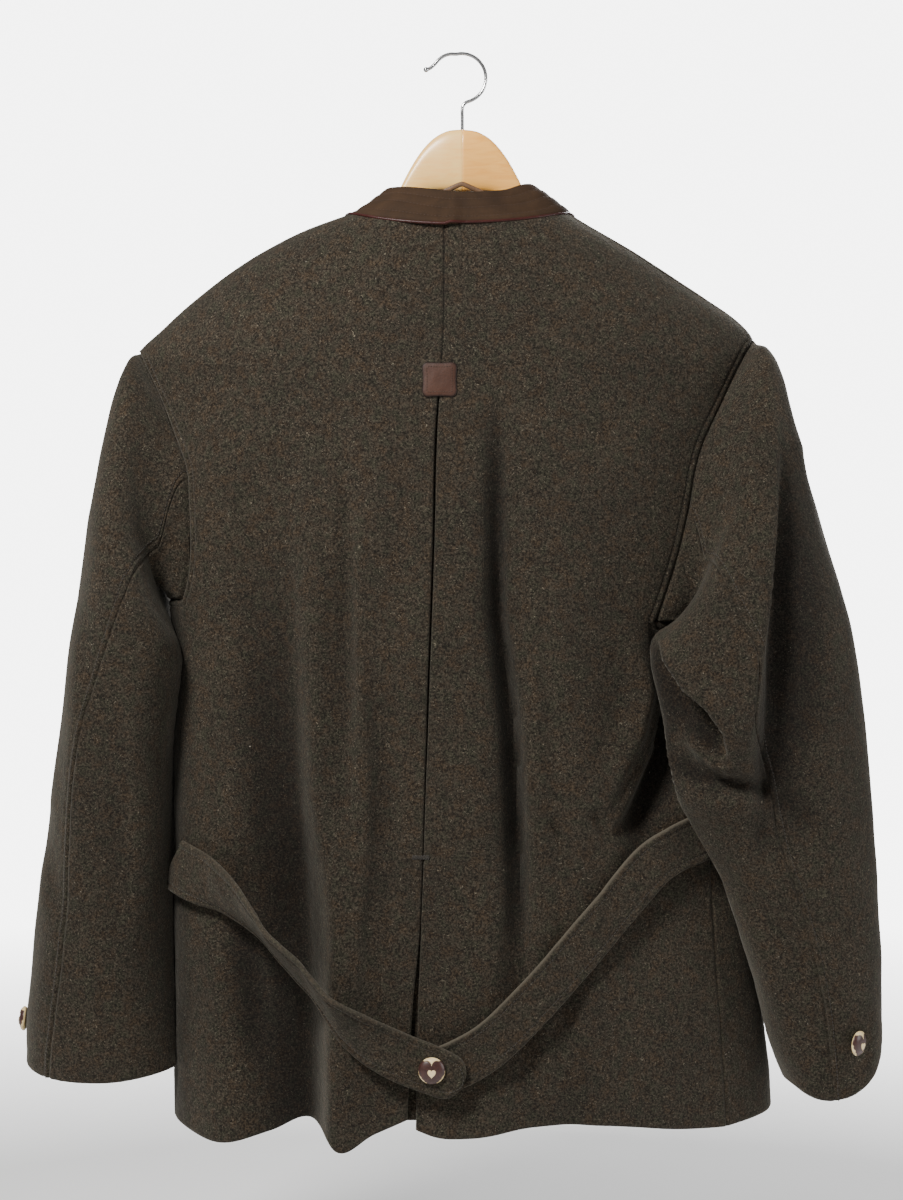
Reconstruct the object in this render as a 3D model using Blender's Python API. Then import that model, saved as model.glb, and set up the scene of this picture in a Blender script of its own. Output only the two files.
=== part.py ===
"""Tyrolean loden jacket on a wooden hanger.

It hangs from the inside of the hanger's hook, which is the origin. +Z is up, the front faces -Y
and the wearer's left side is +X. Every length in this file is in millimetres; the last step of
each piece turns it into metres.
"""

import math
from collections import namedtuple

import bpy
import numpy as np

MM = 0.001

# Cloth, leather and seams
WALL = 2.4  # milled loden
SUEDE = 2.0
SEAM_GAP = 0.3
PLEAT_BEND = 2.7  # outer radius of the fold at the pleat's edge
PLEAT_DEPTH = 44.0  # how far each side of the pleat turns under
UNDERLAY_DROP = 6.8  # outer face of the pleat's underlay, below the back

# Levels
NECK_SIDE_Z = -139.0
NECK_BACK_Z = -158.0
NECK_FRONT_Z = -215.0
NECK_BLEND = 260.0  # height over which rows level out below the neck
HEM_Z = -912.0
PLEAT_TOP_Z = -268.0
PLEAT_START = 7.0  # below this the edges turn under

# Level rings of the hanging jacket: half-widths to each side, depths to the back and front
Ring = namedtuple("Ring", "z left right back front square")
RINGS = (
    Ring(-139, 97, 99, 60, 76, 2.0),
    Ring(-150, 130, 118, 62, 78, 2.0),
    Ring(-166, 163, 146, 64, 79, 2.0),
    Ring(-187, 198, 181, 66, 80, 2.0),
    Ring(-208, 225, 213, 68, 80, 2.0),
    Ring(-234, 256, 248, 71, 81, 2.05),
    Ring(-253, 276, 260, 73, 82, 2.1),
    Ring(-300, 268, 258, 76, 83, 2.2),
    Ring(-400, 257, 252, 80, 84, 2.35),
    Ring(-480, 249, 248, 80, 84, 2.4),
    Ring(-600, 246, 247, 77, 82, 2.5),
    Ring(-750, 246, 255, 75, 80, 2.5),
    Ring(-860, 246, 267, 77, 82, 2.5),
    Ring(-940, 247, 273, 79, 84, 2.5),
)
FORWARD_BOW = 18.0  # how far the sides curve to the front
BOW_REACH = 260.0

# Centre back line, and how far the two pleat edges stand from it
Centre = namedtuple("Centre", "z x left_gap right_gap")
CENTRE_BACK = (
    Centre(-150, 12, 0.15, 0.15),
    Centre(-255, 14, 0.15, 0.15),
    Centre(-300, 17, 0.6, 0.6),
    Centre(-430, 21, 1.3, 1.0),
    Centre(-545, 25, 1.1, 0.9),
    Centre(-665, 29, 0.6, 0.5),
    Centre(-700, 30, 0.9, 0.5),
    Centre(-800, 34, 4.2, 0.8),
    Centre(-930, 37, 6.0, 0.8),
)

# Armholes: distance from the middle plane of the seam on the back and on the front
Armhole = namedtuple("Armhole", "z back front")
ARMHOLE_LEFT = (
    Armhole(-253, 275.8, 275.8),
    Armhole(-275, 266, 264),
    Armhole(-300, 254, 250),
    Armhole(-330, 242, 236),
    Armhole(-354, 232, 228),
    Armhole(-390, 229, 220),
    Armhole(-430, 229, 219),
    Armhole(-455, 232, 224),
    Armhole(-468, 236, 231),
)
ARMHOLE_RIGHT = (
    Armhole(-243, 254.5, 254.5),
    Armhole(-275, 236, 250),
    Armhole(-304, 222, 242),
    Armhole(-335, 207, 235),
    Armhole(-357, 200, 231),
    Armhole(-390, 194, 227),
    Armhole(-431, 184, 226),
    Armhole(-465, 173, 230),
    Armhole(-487, 165, 236),
)

# Where the shoulder seam and the side seam lie, as an angle round the ring from the side, plus
# to the back. The jacket hangs a little turned, so the right seams show behind.
Seam = namedtuple("Seam", "z angle")
SEAMS_LEFT = (
    Seam(-139, -5.0),
    Seam(-200, -5.0),
    Seam(-253, -2.0),
    Seam(-468, -4.0),
    Seam(-700, -4.0),
    Seam(-930, -4.0),
)
SEAMS_RIGHT = (
    Seam(-139, 20.0),
    Seam(-200, 15.0),
    Seam(-243, 5.0),
    Seam(-487, 52.0),
    Seam(-540, 38.0),
    Seam(-620, 35.0),
    Seam(-700, 35.0),
    Seam(-800, 36.0),
    Seam(-930, 37.0),
)

# Hem line by distance from the middle plane, plus to the left: on the back and on the front
Hem = namedtuple("Hem", "x z")
HEM_BACK_LEFT = (
    Hem(250, -912),
    Hem(198, -924),
    Hem(160, -914),
    Hem(128, -905),
    Hem(114, -914),
    Hem(100, -925),
    Hem(70, -911),
    Hem(36, -896),
)
HEM_BACK_RIGHT = (
    Hem(36, -907),
    Hem(20, -913),
    Hem(-10, -914),
    Hem(-60, -906),
    Hem(-118, -905),
    Hem(-200, -912),
    Hem(-245, -911),
    Hem(-275, -905),
)
HEM_FRONT = (
    Hem(250, -912),
    Hem(170, -917),
    Hem(80, -909),
    Hem(0, -918),
    Hem(-80, -912),
    Hem(-180, -917),
    Hem(-275, -905),
)
END_CROWD = 0.5  # how much closer together columns lie at a panel's edges
HEM_BLEND = 170.0  # height over which the rows level out above the hem

# Folds that hang in the cloth: line from top to bottom, height of the ridge (minus is a
# hollow), and reach to each side of the line
Fold = namedtuple("Fold", "x_top z_top x_low z_low height to_left to_right")
BACK_FOLDS = (
    Fold(-34, -250, -62, -1010, -15, 30, 17),
    Fold(-78, -330, -112, -930, 6, 20, 55),
    Fold(180, -300, 166, -760, -11, 45, 34),
    Fold(139, -320, 124, -760, 4, 22, 22),
    Fold(101, -380, 98, -700, -6, 22, 20),
    Fold(72, -350, 78, -740, 5, 22, 26),
    Fold(152, -600, 131, -1240, -34, 62, 24),
    Fold(100, -640, 98, -1240, 5, 20, 34),
    Fold(206, -620, 200, -1240, 5, 34, 40),
    Fold(-196, -470, -150, -720, -13, 26, 34),
    Fold(-92, -740, -88, -1160, -7, 34, 30),
)
FRONT_FOLDS = (
    Fold(150, -330, 128, -1150, -10, 40, 30),
    Fold(96, -420, 90, -1160, 5, 26, 30),
    Fold(-120, -360, -140, -1180, -11, 34, 40),
    Fold(-82, -470, -84, -1100, 5, 26, 26),
    Fold(205, -560, 196, -1180, 5, 30, 34),
)

# Sleeve sections: the outer and the inner edge, the middle's depth, the turn of the section
# about the vertical, and how far it swells to the back and the front
Section = namedtuple("Section", "outer_x outer_z inner_x inner_z y yaw back front clear")
SLEEVE_LEFT = (
    Section(276, -253, 246, -468, -8, 0, 48, 48, 0),
    Section(284, -261, 256, -459, -8, 0, 54, 52, 3),
    Section(295, -290, 257, -461, -8, 0, 63, 60, 5),
    Section(304, -330, 252, -473, -7, 0, 71, 68, 5),
    Section(312, -372, 243, -492, -5, 0, 77, 74, 5),
    Section(319, -418, 238, -520, -3, 0, 80, 78, 5),
    Section(328, -480, 240, -560, -2, 0, 82, 80, 5),
    Section(340, -560, 250, -610, -3, 0, 80, 78, 5),
    Section(351, -640, 257, -668, -6, 0, 76, 74, 5),
    Section(360, -715, 258, -730, -10, 3, 72, 70, 5),
    Section(368, -790, 254, -796, -14, 6, 68, 66, 5),
    Section(373, -845, 248, -850, -18, 8, 64, 62, 5),
    Section(372, -866, 246, -866, -20, 8, 62, 60, 5),
)
SLEEVE_RIGHT = (
    Section(-255, -243, -212, -487, 4, 12, 58, 56, 0),
    Section(-263, -251, -196, -485, 14, 0, 58, 56, 3),
    Section(-272, -275, -180, -486, 24, -10, 58, 50, 4),
    Section(-279, -313, -168, -491, 33, -18, 58, 42, 4),
    Section(-290, -350, -162, -500, 39, -22, 60, 36, 4),
    Section(-306, -405, -160, -516, 43, -20, 62, 32, 5),
    Section(-321, -462, -164, -541, 44, -16, 64, 30, 6),
    Section(-335, -530, -172, -575, 44, -16, 62, 30, 9),
    Section(-345, -600, -172, -613, 42, -14, 60, 32, 13),
    Section(-352, -665, -188, -658, 36, -10, 58, 34, 14),
    Section(-357, -730, -220, -712, 26, -6, 54, 36, 12),
    Section(-361, -790, -246, -782, 14, 0, 50, 38, 10),
    Section(-362, -840, -264, -840, 4, 0, 46, 40, 8),
    Section(-359, -862, -280, -878, 0, 0, 45, 40, 8),
)
SLEEVE_SQUARE = 2.3
SLEEVE_EVEN = 4.0  # stations over which its columns become evenly spaced
SLEEVE_JOIN = 1.6  # stations over which the sleeve leaves the armhole's own curve

SEAM_DRIFT_LEFT = 50.0  # degrees that the back seam winds outwards down to the cuff
SEAM_DRIFT_RIGHT = 12.0
CUFF_ROUND_LEFT = 10.0  # how much lower the cuff hangs before and behind
CUFF_ROUND_RIGHT = 17.0

# Creases of a sleeve: from and to, in degrees round it (0 outside, 90 behind) and in stations,
# with the ridge's height and its reach towards the shoulder and towards the cuff
Crease = namedtuple("Crease", "turn_a run_a turn_b run_b height up down")
CREASES_RIGHT = (
    Crease(175, 5.4, 95, 8.0, -11, 34, 12),
    Crease(180, 7.6, 92, 8.35, 7, 14, 14),
    Crease(180, 8.5, 70, 8.9, -9, 14, 26),
    Crease(62, 3.4, 95, 7.8, 5, 30, 14),
)
CREASES_LEFT = (
    Crease(70, 6.0, 58, 9.5, 4, 24, 24),
    Crease(150, 8.2, 60, 8.9, -4, 20, 26),
    Crease(250, 7.4, 320, 8.4, -4, 20, 26),
)
STATION_LENGTH = 52.0
TURN_LENGTH = 1.1  # millimetres round the sleeve for a degree

# Collar
COLLAR_TOP_X = 63.0
COLLAR_TOP_BACK = 47.0
COLLAR_TOP_FRONT = 62.0
COLLAR_TOP_BACK_Z = -124.0
COLLAR_TOP_SIDE_Z = -114.0
COLLAR_TOP_FRONT_Z = -180.0
COLLAR_OPENING = 1.5  # from the middle to each end
MIN_TURN = 0.06  # radians between two of its columns

# Front edge
LAP = 14.0  # each front reaches this far past the middle
LAP_LIFT = 3.0
LAP_BLEND = 60.0

# Half-belts: middle line, distance from the back's smooth form, turn about the line, width
Belt = namedtuple("Belt", "x z lift turn width")
BELT_LEFT = (
    Belt(239, -693, 8, 0, 44),
    Belt(214, -703, 12, 0, 44),
    Belt(190, -718, 16, -20, 42),
    Belt(165, -741, 22, -62, 40),
    Belt(138, -771, 23, -72, 40),
    Belt(110, -805, 22, -50, 40),
    Belt(82, -828, 19, -14, 40),
    Belt(50, -843, 17, 0, 40),
    Belt(20, -855, 16.5, 0, 40),
    Belt(-4, -866, 16.5, 0, 36),
)
BELT_RIGHT = (
    Belt(-206, -666, 8, 0, 42),
    Belt(-180, -676, 10, 0, 42),
    Belt(-158, -690, 12, 0, 42),
    Belt(-130, -722, 12, 0, 40),
    Belt(-96, -762, 12, 0, 40),
    Belt(-62, -800, 11, 0, 40),
    Belt(-28, -833, 11, 0, 40),
    Belt(4, -852, 11, 0, 40),
    Belt(34, -861, 11, 0, 38),
)
BELT_THICK = 4.2

# Buttons, patch and hanging loop
BUTTON_RADIUS = 11.0
BUTTON_THICK = 6.5
CUFF_BUTTON_RADIUS = 10.5
CUFF_BUTTON_LEFT = (374, -8, -830)
CUFF_BUTTON_RIGHT = (-338, 40, -835)
FRONT_BUTTONS = (-236, -346, -456, -566, -676)
PATCH_HALF = 14.8
PATCH_THICK = 1.6
PATCH_Z = -279.0
LOOP_RADIUS = 1.8

# Hanger
HANGER_X = -3.4
HOOK_WIRE = 1.5
HOOK_BEND = 21.0
HOOK_X, HOOK_Z = -2.6, -19.5
HOOK_TIP = ((28.8, -12.6), (25, -11.4), (21, -8.2), (16.8, -3.6), (12, -0.3), (6.8, 1.1))
HOOK_STEM = ((-5.4, -41.4), (-3.9, -43.6), (HANGER_X, -46.5), (HANGER_X, -55), (HANGER_X, -63.6))
Wood = namedtuple("Wood", "x top low thick")
HANGER_WOOD = (
    Wood(0, -64, -118, 16),
    Wood(14, -66, -117, 16),
    Wood(27, -74, -118, 15),
    Wood(38, -87, -123, 15),
    Wood(48, -104, -132, 15),
    Wood(58, -124, -148, 15),
    Wood(74, -146, -168, 16),
    Wood(100, -159, -184, 17),
    Wood(130, -174, -202, 20),
    Wood(160, -191, -221, 24),
    Wood(190, -212, -241, 28),
    Wood(210, -228, -252, 28),
)
HANGER_SWEEP = 0.075  # forward for each millimetre outwards
HANGER_TILT = 0.025  # the left arm hangs higher


def track(rows, key, column):
    """A smooth run of values through one column of a table."""
    at = np.array([getattr(row, key) for row in rows], float)
    value = np.array([getattr(row, column) for row in rows], float)
    order = np.argsort(at)
    at, value = at[order], value[order]
    slope = np.gradient(value, at)

    def read(query):
        query = np.clip(query, at[0], at[-1])
        i = np.clip(np.searchsorted(at, query, side="right") - 1, 0, len(at) - 2)
        span = at[i + 1] - at[i]
        t = (query - at[i]) / span
        start = (1 + 2 * t) * (1 - t) ** 2 * value[i] + t * (1 - t) ** 2 * span * slope[i]
        end = t**2 * (3 - 2 * t) * value[i + 1] + t**2 * (t - 1) * span * slope[i + 1]
        return start + end

    return read


def by_index(rows, column):
    """A smooth run of values down a table whose rows are evenly spaced stations."""
    Station = namedtuple("Station", "at value")
    stations = [Station(i, getattr(row, column)) for i, row in enumerate(rows)]
    return track(stations, "at", "value")


def smooth(t):
    """0 to 1 with level ends."""
    t = np.clip(t, 0.0, 1.0)
    return t * t * (3 - 2 * t)


def unit(vectors):
    return vectors / np.linalg.norm(vectors, axis=-1, keepdims=True)


half_left = track(RINGS, "z", "left")
half_right = track(RINGS, "z", "right")
deep_back = track(RINGS, "z", "back")
deep_front = track(RINGS, "z", "front")
square = track(RINGS, "z", "square")
centre_x = track(CENTRE_BACK, "z", "x")
hem_back_left = track(HEM_BACK_LEFT, "x", "z")
hem_back_right = track(HEM_BACK_RIGHT, "x", "z")
hem_front = track(HEM_FRONT, "x", "z")


def fold_height(x, z, folds):
    """How far the folds lift the cloth at a place on the panel."""
    total = np.zeros(np.broadcast(x, z).shape)
    for fold in folds:
        run = np.clip((fold.z_top - z) / (fold.z_top - fold.z_low), 0, 1)
        aside = x - (fold.x_top + (fold.x_low - fold.x_top) * run)
        reach = np.where(aside >= 0, fold.to_left, fold.to_right)
        across = np.cos(np.clip(aside / reach, -1, 1) * math.pi / 2) ** 2
        total += fold.height * across * np.sin(math.pi * run)
    return total


def body(angle, z, lift=0.0, folded=True):
    """A point of the jacket's outer face: angle 0 is its left side, a quarter turn its back."""
    angle, z, lift = np.broadcast_arrays(np.asarray(angle, float), np.asarray(z, float), lift)
    c, s = np.cos(angle), np.sin(angle)
    half = np.where(c >= 0, half_left(z), half_right(z))
    deep = np.where(s >= 0, deep_back(z), deep_front(z))
    power = square(z)
    ring_x = half * np.sign(c) * np.abs(c) ** (2 / power)
    ring_y = deep * np.sign(s) * np.abs(s) ** (2 / power)
    out_x = np.sign(c) * np.abs(ring_x / half) ** (power - 1) / half
    out_y = np.sign(s) * np.abs(ring_y / deep) ** (power - 1) / deep
    length = np.hypot(out_x, out_y)
    if folded:
        still = 1 - np.abs(ring_x / half) ** 6
        behind = fold_height(ring_x, z, BACK_FOLDS)
        before = fold_height(ring_x, z, FRONT_FOLDS)
        lift = lift + still * np.where(s >= 0, behind, before)
    x = ring_x + lift * out_x / length
    y = ring_y + lift * out_y / length - FORWARD_BOW * (ring_x / BOW_REACH) ** 2
    return np.stack([x, y, z], axis=-1)


def body_normal(angle, z, lift=0.0, folded=True):
    """The outward normal of the jacket's face."""
    turn, drop = 0.004, 0.6
    round_it = body(angle + turn, z, lift, folded) - body(angle - turn, z, lift, folded)
    up = body(angle, z + drop, lift, folded) - body(angle, z - drop, lift, folded)
    return unit(np.cross(round_it, up))


def angle_at(x, z):
    """The back's ring angle where the ring stands x from the middle plane."""
    half = np.where(np.asarray(x) >= 0, half_left(z), half_right(z))
    c = np.clip(np.abs(x) / half, 0, 1) ** (square(z) / 2)
    return np.arccos(np.sign(x) * c)


class Side:
    """The seams of one side, level by level from the neck down to the hem."""

    def __init__(self, sign, armhole, seams, shoulder_rows, armhole_rows, side_rows):
        top, pit = armhole[0].z, armhole[-1].z
        shoulder = np.linspace(NECK_SIDE_Z, top, shoulder_rows + 1)
        pleat_top = PLEAT_TOP_Z, PLEAT_TOP_Z - PLEAT_START
        opening = np.append([top, pleat_top[0]], np.linspace(pleat_top[1], pit, armhole_rows - 1))
        below = np.linspace(pit, HEM_Z, side_rows + 1)
        self.sign = sign
        self.levels = np.concatenate([shoulder, opening[1:], below[1:]])
        self.top_row = shoulder_rows
        self.pit_row = shoulder_rows + armhole_rows
        seam = np.radians(track(seams, "z", "angle")(self.levels))
        half = half_left if sign > 0 else half_right
        ends = {}
        for face, facing in (("back", 1), ("front", -1)):
            reach = track(armhole, "z", face)(opening) / half(opening)
            angle = facing * np.arccos(np.clip(reach, 0, 1) ** (square(opening) / 2))
            angle[0] = seam[self.top_row]
            ends[face] = seam.copy()
            ends[face][self.top_row : self.pit_row + 1] = angle
        self.seam = seam
        self.ends = ends

    def angle(self, from_side):
        """The ring angle of an angle measured from this side towards the back."""
        return from_side if self.sign > 0 else math.pi - from_side


def neck_level(angle):
    """Height of the neck seam round the ring."""
    s = np.sin(angle)
    middle = np.where(s >= 0, NECK_BACK_Z, NECK_FRONT_Z)
    return NECK_SIDE_Z + (middle - NECK_SIDE_Z) * np.abs(s) ** 1.4


def panel_rows(side, face, columns, under_columns, centre_angle, hem):
    """Angles and heights over one panel, from its middle edge out to its side edge."""
    pit = side.pit_row
    step = np.linspace(0, 1, columns + 1)
    share = step - END_CROWD * np.sin(math.tau * step) / math.tau
    under = np.linspace(0, 1, under_columns + 1)[1:]
    angles, heights = [], []
    for row, level in enumerate(side.levels):
        corner = side.angle(under_corner(side, face, row))
        start = centre_angle(np.array([level]))
        angle = start + (corner - start) * share
        z = np.full_like(angle, level)
        if row < pit:
            fade = 1 - smooth((NECK_SIDE_Z - level) / NECK_BLEND)
            x = body(angle, z, folded=False)[..., 0]
            z = z + np.minimum(0, neck_level(angle) - neck_level(corner)) * fade
            refit = np.where(np.sin(angle) >= 0, 1, -1) * angle_at(x, z)
            angle = refit + np.round((angle - refit) / math.tau) * math.tau
        if under_columns:
            last = under_corner(side, face, row)
            last = last + (side.seam[max(row, pit)] - last) * under
            angle = np.append(angle, side.angle(last))
            z = np.append(z, np.full(under_columns, z[-1]))
        near_hem = smooth((HEM_Z + HEM_BLEND - z) / HEM_BLEND)
        flat = body(angle, z, folded=False)[..., 0]
        angles.append(angle)
        heights.append(z + near_hem * (hem(flat) - HEM_Z))
    return np.array(angles), np.array(heights)


def under_corner(side, face, row):
    """The panel's side edge, or under the armhole the column that carries on from its corner."""
    pit = side.pit_row
    if row <= pit:
        return side.ends[face][row]
    return side.ends[face][pit] + side.seam[row] - side.seam[pit]


def trimmed(points, faces):
    """The points with every free edge of the faces drawn in by half a seam's gap."""
    edges = {(f[k], f[(k + 1) % 3]): f for f in faces for k in range(3)}
    inward = {}
    for (a, b), face in edges.items():
        if (b, a) in edges:
            continue
        along = unit(points[b] - points[a])
        third = next(v for v in face if v not in (a, b))
        inside = points[third] - points[a]
        inside = unit(inside - along * np.dot(inside, along))
        inward.setdefault(a, []).append(inside)
        inward.setdefault(b, []).append(inside)
    moved = points.copy()
    for v, sides in inward.items():
        bend = max(0.2, 1 + np.dot(sides[0], sides[-1]))
        moved[v] += SEAM_GAP / 2 * (sides[0] + sides[-1]) / bend
    return moved


def split(points, a, b, c, d):
    """A four-cornered face as two triangles across its shorter diagonal."""
    if np.linalg.norm(points[a] - points[c]) <= np.linalg.norm(points[b] - points[d]):
        return [(a, b, c), (a, c, d)]
    return [(b, c, d), (b, d, a)]


def material(name, colour, roughness, metallic=0.0):
    made = bpy.data.materials.new(name)
    made.use_nodes = True
    shader = made.node_tree.nodes["Principled BSDF"]
    shader.inputs["Base Color"].default_value = (*colour, 1)
    shader.inputs["Roughness"].default_value = roughness
    shader.inputs["Metallic"].default_value = metallic
    made.diffuse_color = (*colour, 1)
    return made


def add_mesh(name, points, faces, finish, rounded=True):
    """A new object from points in millimetres."""
    mesh = bpy.data.meshes.new(name)
    mesh.from_pydata([tuple(float(v) * MM for v in p) for p in points], [], faces)
    mesh.validate()
    if rounded:
        mesh.shade_smooth()
        mesh.set_sharp_from_angle(angle=math.radians(40))
    mesh.materials.append(finish)
    obj = bpy.data.objects.new(name, mesh)
    bpy.context.scene.collection.objects.link(obj)
    return obj


def add_wall(name, outer, normals, thick, finish, keep=None):
    """A closed wall under a grid of points; keep says which cells of the grid are cloth."""
    rows, columns = outer.shape[:2]
    number = np.arange(rows * columns).reshape(rows, columns)
    keep = np.ones((rows - 1, columns - 1), bool) if keep is None else keep
    kept = np.argwhere(keep)
    i, j = kept[len(kept) // 2]
    turned = np.cross(outer[i, j + 1] - outer[i, j], outer[i + 1, j] - outer[i, j])
    facing = np.dot(turned, normals[i, j])
    flat = outer.reshape(-1, 3)
    faces = []
    for i, j in kept:
        quad = [int(number[at]) for at in ((i, j), (i, j + 1), (i + 1, j + 1), (i + 1, j))]
        faces += split(flat, *(quad if facing > 0 else quad[::-1]))
    front = trimmed(flat, faces)
    points = np.concatenate([front, front - thick * normals.reshape(-1, 3)])
    below = rows * columns
    edges = {(f[k], f[(k + 1) % 3]) for f in faces for k in range(3)}
    rims = []
    for a, b in sorted(edges):
        if (b, a) not in edges:
            c, d = a + below, b + below
            if tuple(flat[a][::-1]) < tuple(flat[b][::-1]):
                rims += [(b, a, c), (b, c, d)]
            else:
                rims += [(a, c, d), (a, d, b)]
    backs = [tuple(v + below for v in f[::-1]) for f in faces]
    used = sorted({v for f in faces + backs for v in f})
    place = {v: k for k, v in enumerate(used)}
    return add_mesh(name, points[used], [[place[v] for v in f] for f in faces + rims + backs], finish)


def add_turned(name, profile, steps, centre, facing, finish):
    """A turned piece: its profile is (radius, height) from the foot's middle to the top's."""
    axis = unit(np.asarray(facing, float))
    side = unit(np.cross(axis, (0.3, 0.2, 1.0)))
    other = np.cross(axis, side)
    centre = np.asarray(centre, float)
    points = [centre + axis * profile[0][1]]
    for radius, height in profile[1:-1]:
        for k in range(steps):
            turn = math.tau * k / steps
            spoke = side * math.cos(turn) + other * math.sin(turn)
            points.append(centre + axis * height + radius * spoke)
    points.append(centre + axis * profile[-1][1])

    def ring(row, k):
        return 1 + row * steps + k % steps

    last = len(profile) - 3
    faces = [[0, ring(0, k + 1), ring(0, k)] for k in range(steps)]
    for r in range(last):
        for k in range(steps):
            faces.append([ring(r, k), ring(r, k + 1), ring(r + 1, k + 1), ring(r + 1, k)])
    faces += [[ring(last, k), ring(last, k + 1), len(points) - 1] for k in range(steps)]
    return add_mesh(name, points, faces, finish)


def add_wire(name, points, radius, finish, sides=3):
    """A round wire through the points."""
    curve = bpy.data.curves.new(name, "CURVE")
    curve.dimensions = "3D"
    curve.bevel_depth = radius * MM
    curve.bevel_resolution = sides
    curve.use_fill_caps = True
    spline = curve.splines.new("POLY")
    spline.points.add(len(points) - 1)
    for point, place in zip(spline.points, points):
        point.co = (*(float(v) * MM for v in place), 1)
    curve.materials.append(finish)
    obj = bpy.data.objects.new(name, curve)
    bpy.context.scene.collection.objects.link(obj)
    return obj


def back_panel(name, side, gap_column, hem, columns, under_columns, cloth):
    """One side of the back, whose middle edge turns under below the patch."""
    gap = track(CENTRE_BACK, "z", gap_column)

    def centre_angle(z):
        pleat = z < PLEAT_TOP_Z - PLEAT_START / 2
        return angle_at(centre_x(z) + side.sign * (gap(z) + PLEAT_BEND * pleat), z)

    angles, heights = panel_rows(side, "back", columns, under_columns, centre_angle, hem)
    normals = body_normal(angles, heights)
    outer = body(angles, heights)

    # The turned-under part: out from the fold's edge, round it and back beneath the panel
    edge, edge_normal = outer[:, :1], normals[:, :1]
    outward = unit(outer[:, :1] - outer[:, 1:2])
    bends = np.radians([45, 90, 135])[None, :, None]
    bend_normal = np.cos(bends) * edge_normal + np.sin(bends) * outward
    bend = edge - PLEAT_BEND * edge_normal + PLEAT_BEND * bend_normal
    first = angles[:, :1]
    reach = np.linspace(0, 1, 4)[None, :] * PLEAT_DEPTH
    x_edge = body(first, heights[:, :1], folded=False)[..., 0]
    under_angles = angle_at(x_edge + side.sign * reach, heights[:, :1])
    under_normal = body_normal(under_angles, heights[:, :1])
    under = body(under_angles, heights[:, :1]) - 2 * PLEAT_BEND * under_normal
    strip = np.concatenate([under[:, ::-1], bend[:, ::-1]], axis=1)
    strip_normal = np.concatenate([-under_normal[:, ::-1], bend_normal[:, ::-1]], axis=1)

    outer = np.concatenate([strip, outer], axis=1)
    normals = np.concatenate([strip_normal, normals], axis=1)
    keep = np.ones((outer.shape[0] - 1, outer.shape[1] - 1), bool)
    plain = side.levels[:-1] > PLEAT_TOP_Z - PLEAT_START / 2
    keep[plain, : strip.shape[1]] = False
    if under_columns:
        keep[: side.pit_row, -under_columns:] = False
    add_wall(name, outer, normals, WALL, cloth, keep)
    return list(zip(angles[0, : columns + 1], heights[0, : columns + 1]))


def lap_lift(x):
    """How far the left front stands off where it laps over the right one."""
    return LAP_LIFT * (1 - smooth((x - LAP) / LAP_BLEND))


def front_panel(name, side, columns, under_columns, cloth):
    """One front, whose middle edge laps past the middle; the left one lies on top."""

    def centre_angle(z):
        c = (LAP / (half_right(z) if side.sign > 0 else half_left(z))) ** (square(z) / 2)
        return 1.5 * math.pi - side.sign * np.arcsin(c) - (math.tau if side.sign > 0 else 0)

    angles, heights = panel_rows(side, "front", columns, under_columns, centre_angle, hem_front)
    x = body(angles, heights, folded=False)[..., 0]
    lift = lap_lift(x) * (np.sin(angles) < 0) * (side.sign > 0)
    normals = body_normal(angles, heights, lift)
    outer = body(angles, heights, lift)
    keep = np.ones((outer.shape[0] - 1, outer.shape[1] - 1), bool)
    keep[: side.pit_row, -under_columns:] = False
    add_wall(name, outer, normals, WALL, cloth, keep)
    return list(zip(angles[0, : columns + 1], heights[0, : columns + 1]))


def armhole_loop(side, back_under, front_under):
    """The armhole's edge from the shoulder down the back, under the arm and up the front."""
    rows = range(side.top_row, side.pit_row + 1)
    z = side.levels
    back = [(side.ends["back"][r], z[r]) for r in rows]
    front = [(side.ends["front"][r], z[r]) for r in rows]
    pit, seam = z[side.pit_row], side.seam[side.pit_row]
    corner_back, corner_front = back[-1][0], front[-1][0]
    under = [(a, pit) for a in np.linspace(corner_back, seam, back_under + 1)[1:]] if back_under else []
    under += [(a, pit) for a in np.linspace(seam, corner_front, front_under + 1)[1:-1]]
    loop = back + under + front[::-1][:-1]
    angles = side.angle(np.array([a for a, _ in loop]))
    heights = np.array([h for _, h in loop])
    return body(angles, heights), body_normal(angles, heights)


def crease_height(turn, run, creases):
    """How far the creases lift a sleeve, at degrees round it and stations down it."""
    total = np.zeros(np.broadcast(turn, run).shape)
    for c in creases:
        start = np.array([c.turn_a * TURN_LENGTH, c.run_a * STATION_LENGTH])
        line = np.array([c.turn_b * TURN_LENGTH, c.run_b * STATION_LENGTH]) - start
        px, py = turn * TURN_LENGTH - start[0], run * STATION_LENGTH - start[1]
        t = (px * line[0] + py * line[1]) / (line @ line)
        held = np.clip(t, 0, 1)
        aside_x, aside_y = px - held * line[0], py - held * line[1]
        far = np.hypot(aside_x, aside_y)
        below = line[0] * py - line[1] * px if line[0] > 0 else line[1] * px - line[0] * py
        reach = np.where(below > 0, c.down, c.up)
        total += c.height * np.cos(np.clip(far / reach, 0, 1) * math.pi / 2) ** 2
    return total


def clear_of_body(points, clearance):
    """Sleeve points moved out where they would come nearer to the body than the clearance."""
    x, y, z = points[..., 0], points[..., 1], points[..., 2]
    level = np.clip(z, HEM_Z, NECK_SIDE_Z)
    y_ring = y + FORWARD_BOW * (x / BOW_REACH) ** 2
    half = np.where(x >= 0, half_left(level), half_right(level)) + clearance
    deep = np.where(y_ring >= 0, deep_back(level), deep_front(level)) + clearance
    power = square(level)
    near = (np.abs(x / half) ** power + np.abs(y_ring / deep) ** power) ** (1 / power)
    grow = 1 / np.minimum(near, 1)
    x_out, y_out = x * grow, y_ring * grow
    return np.stack([x_out, y_out - FORWARD_BOW * (x_out / BOW_REACH) ** 2, z], axis=-1)


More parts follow.
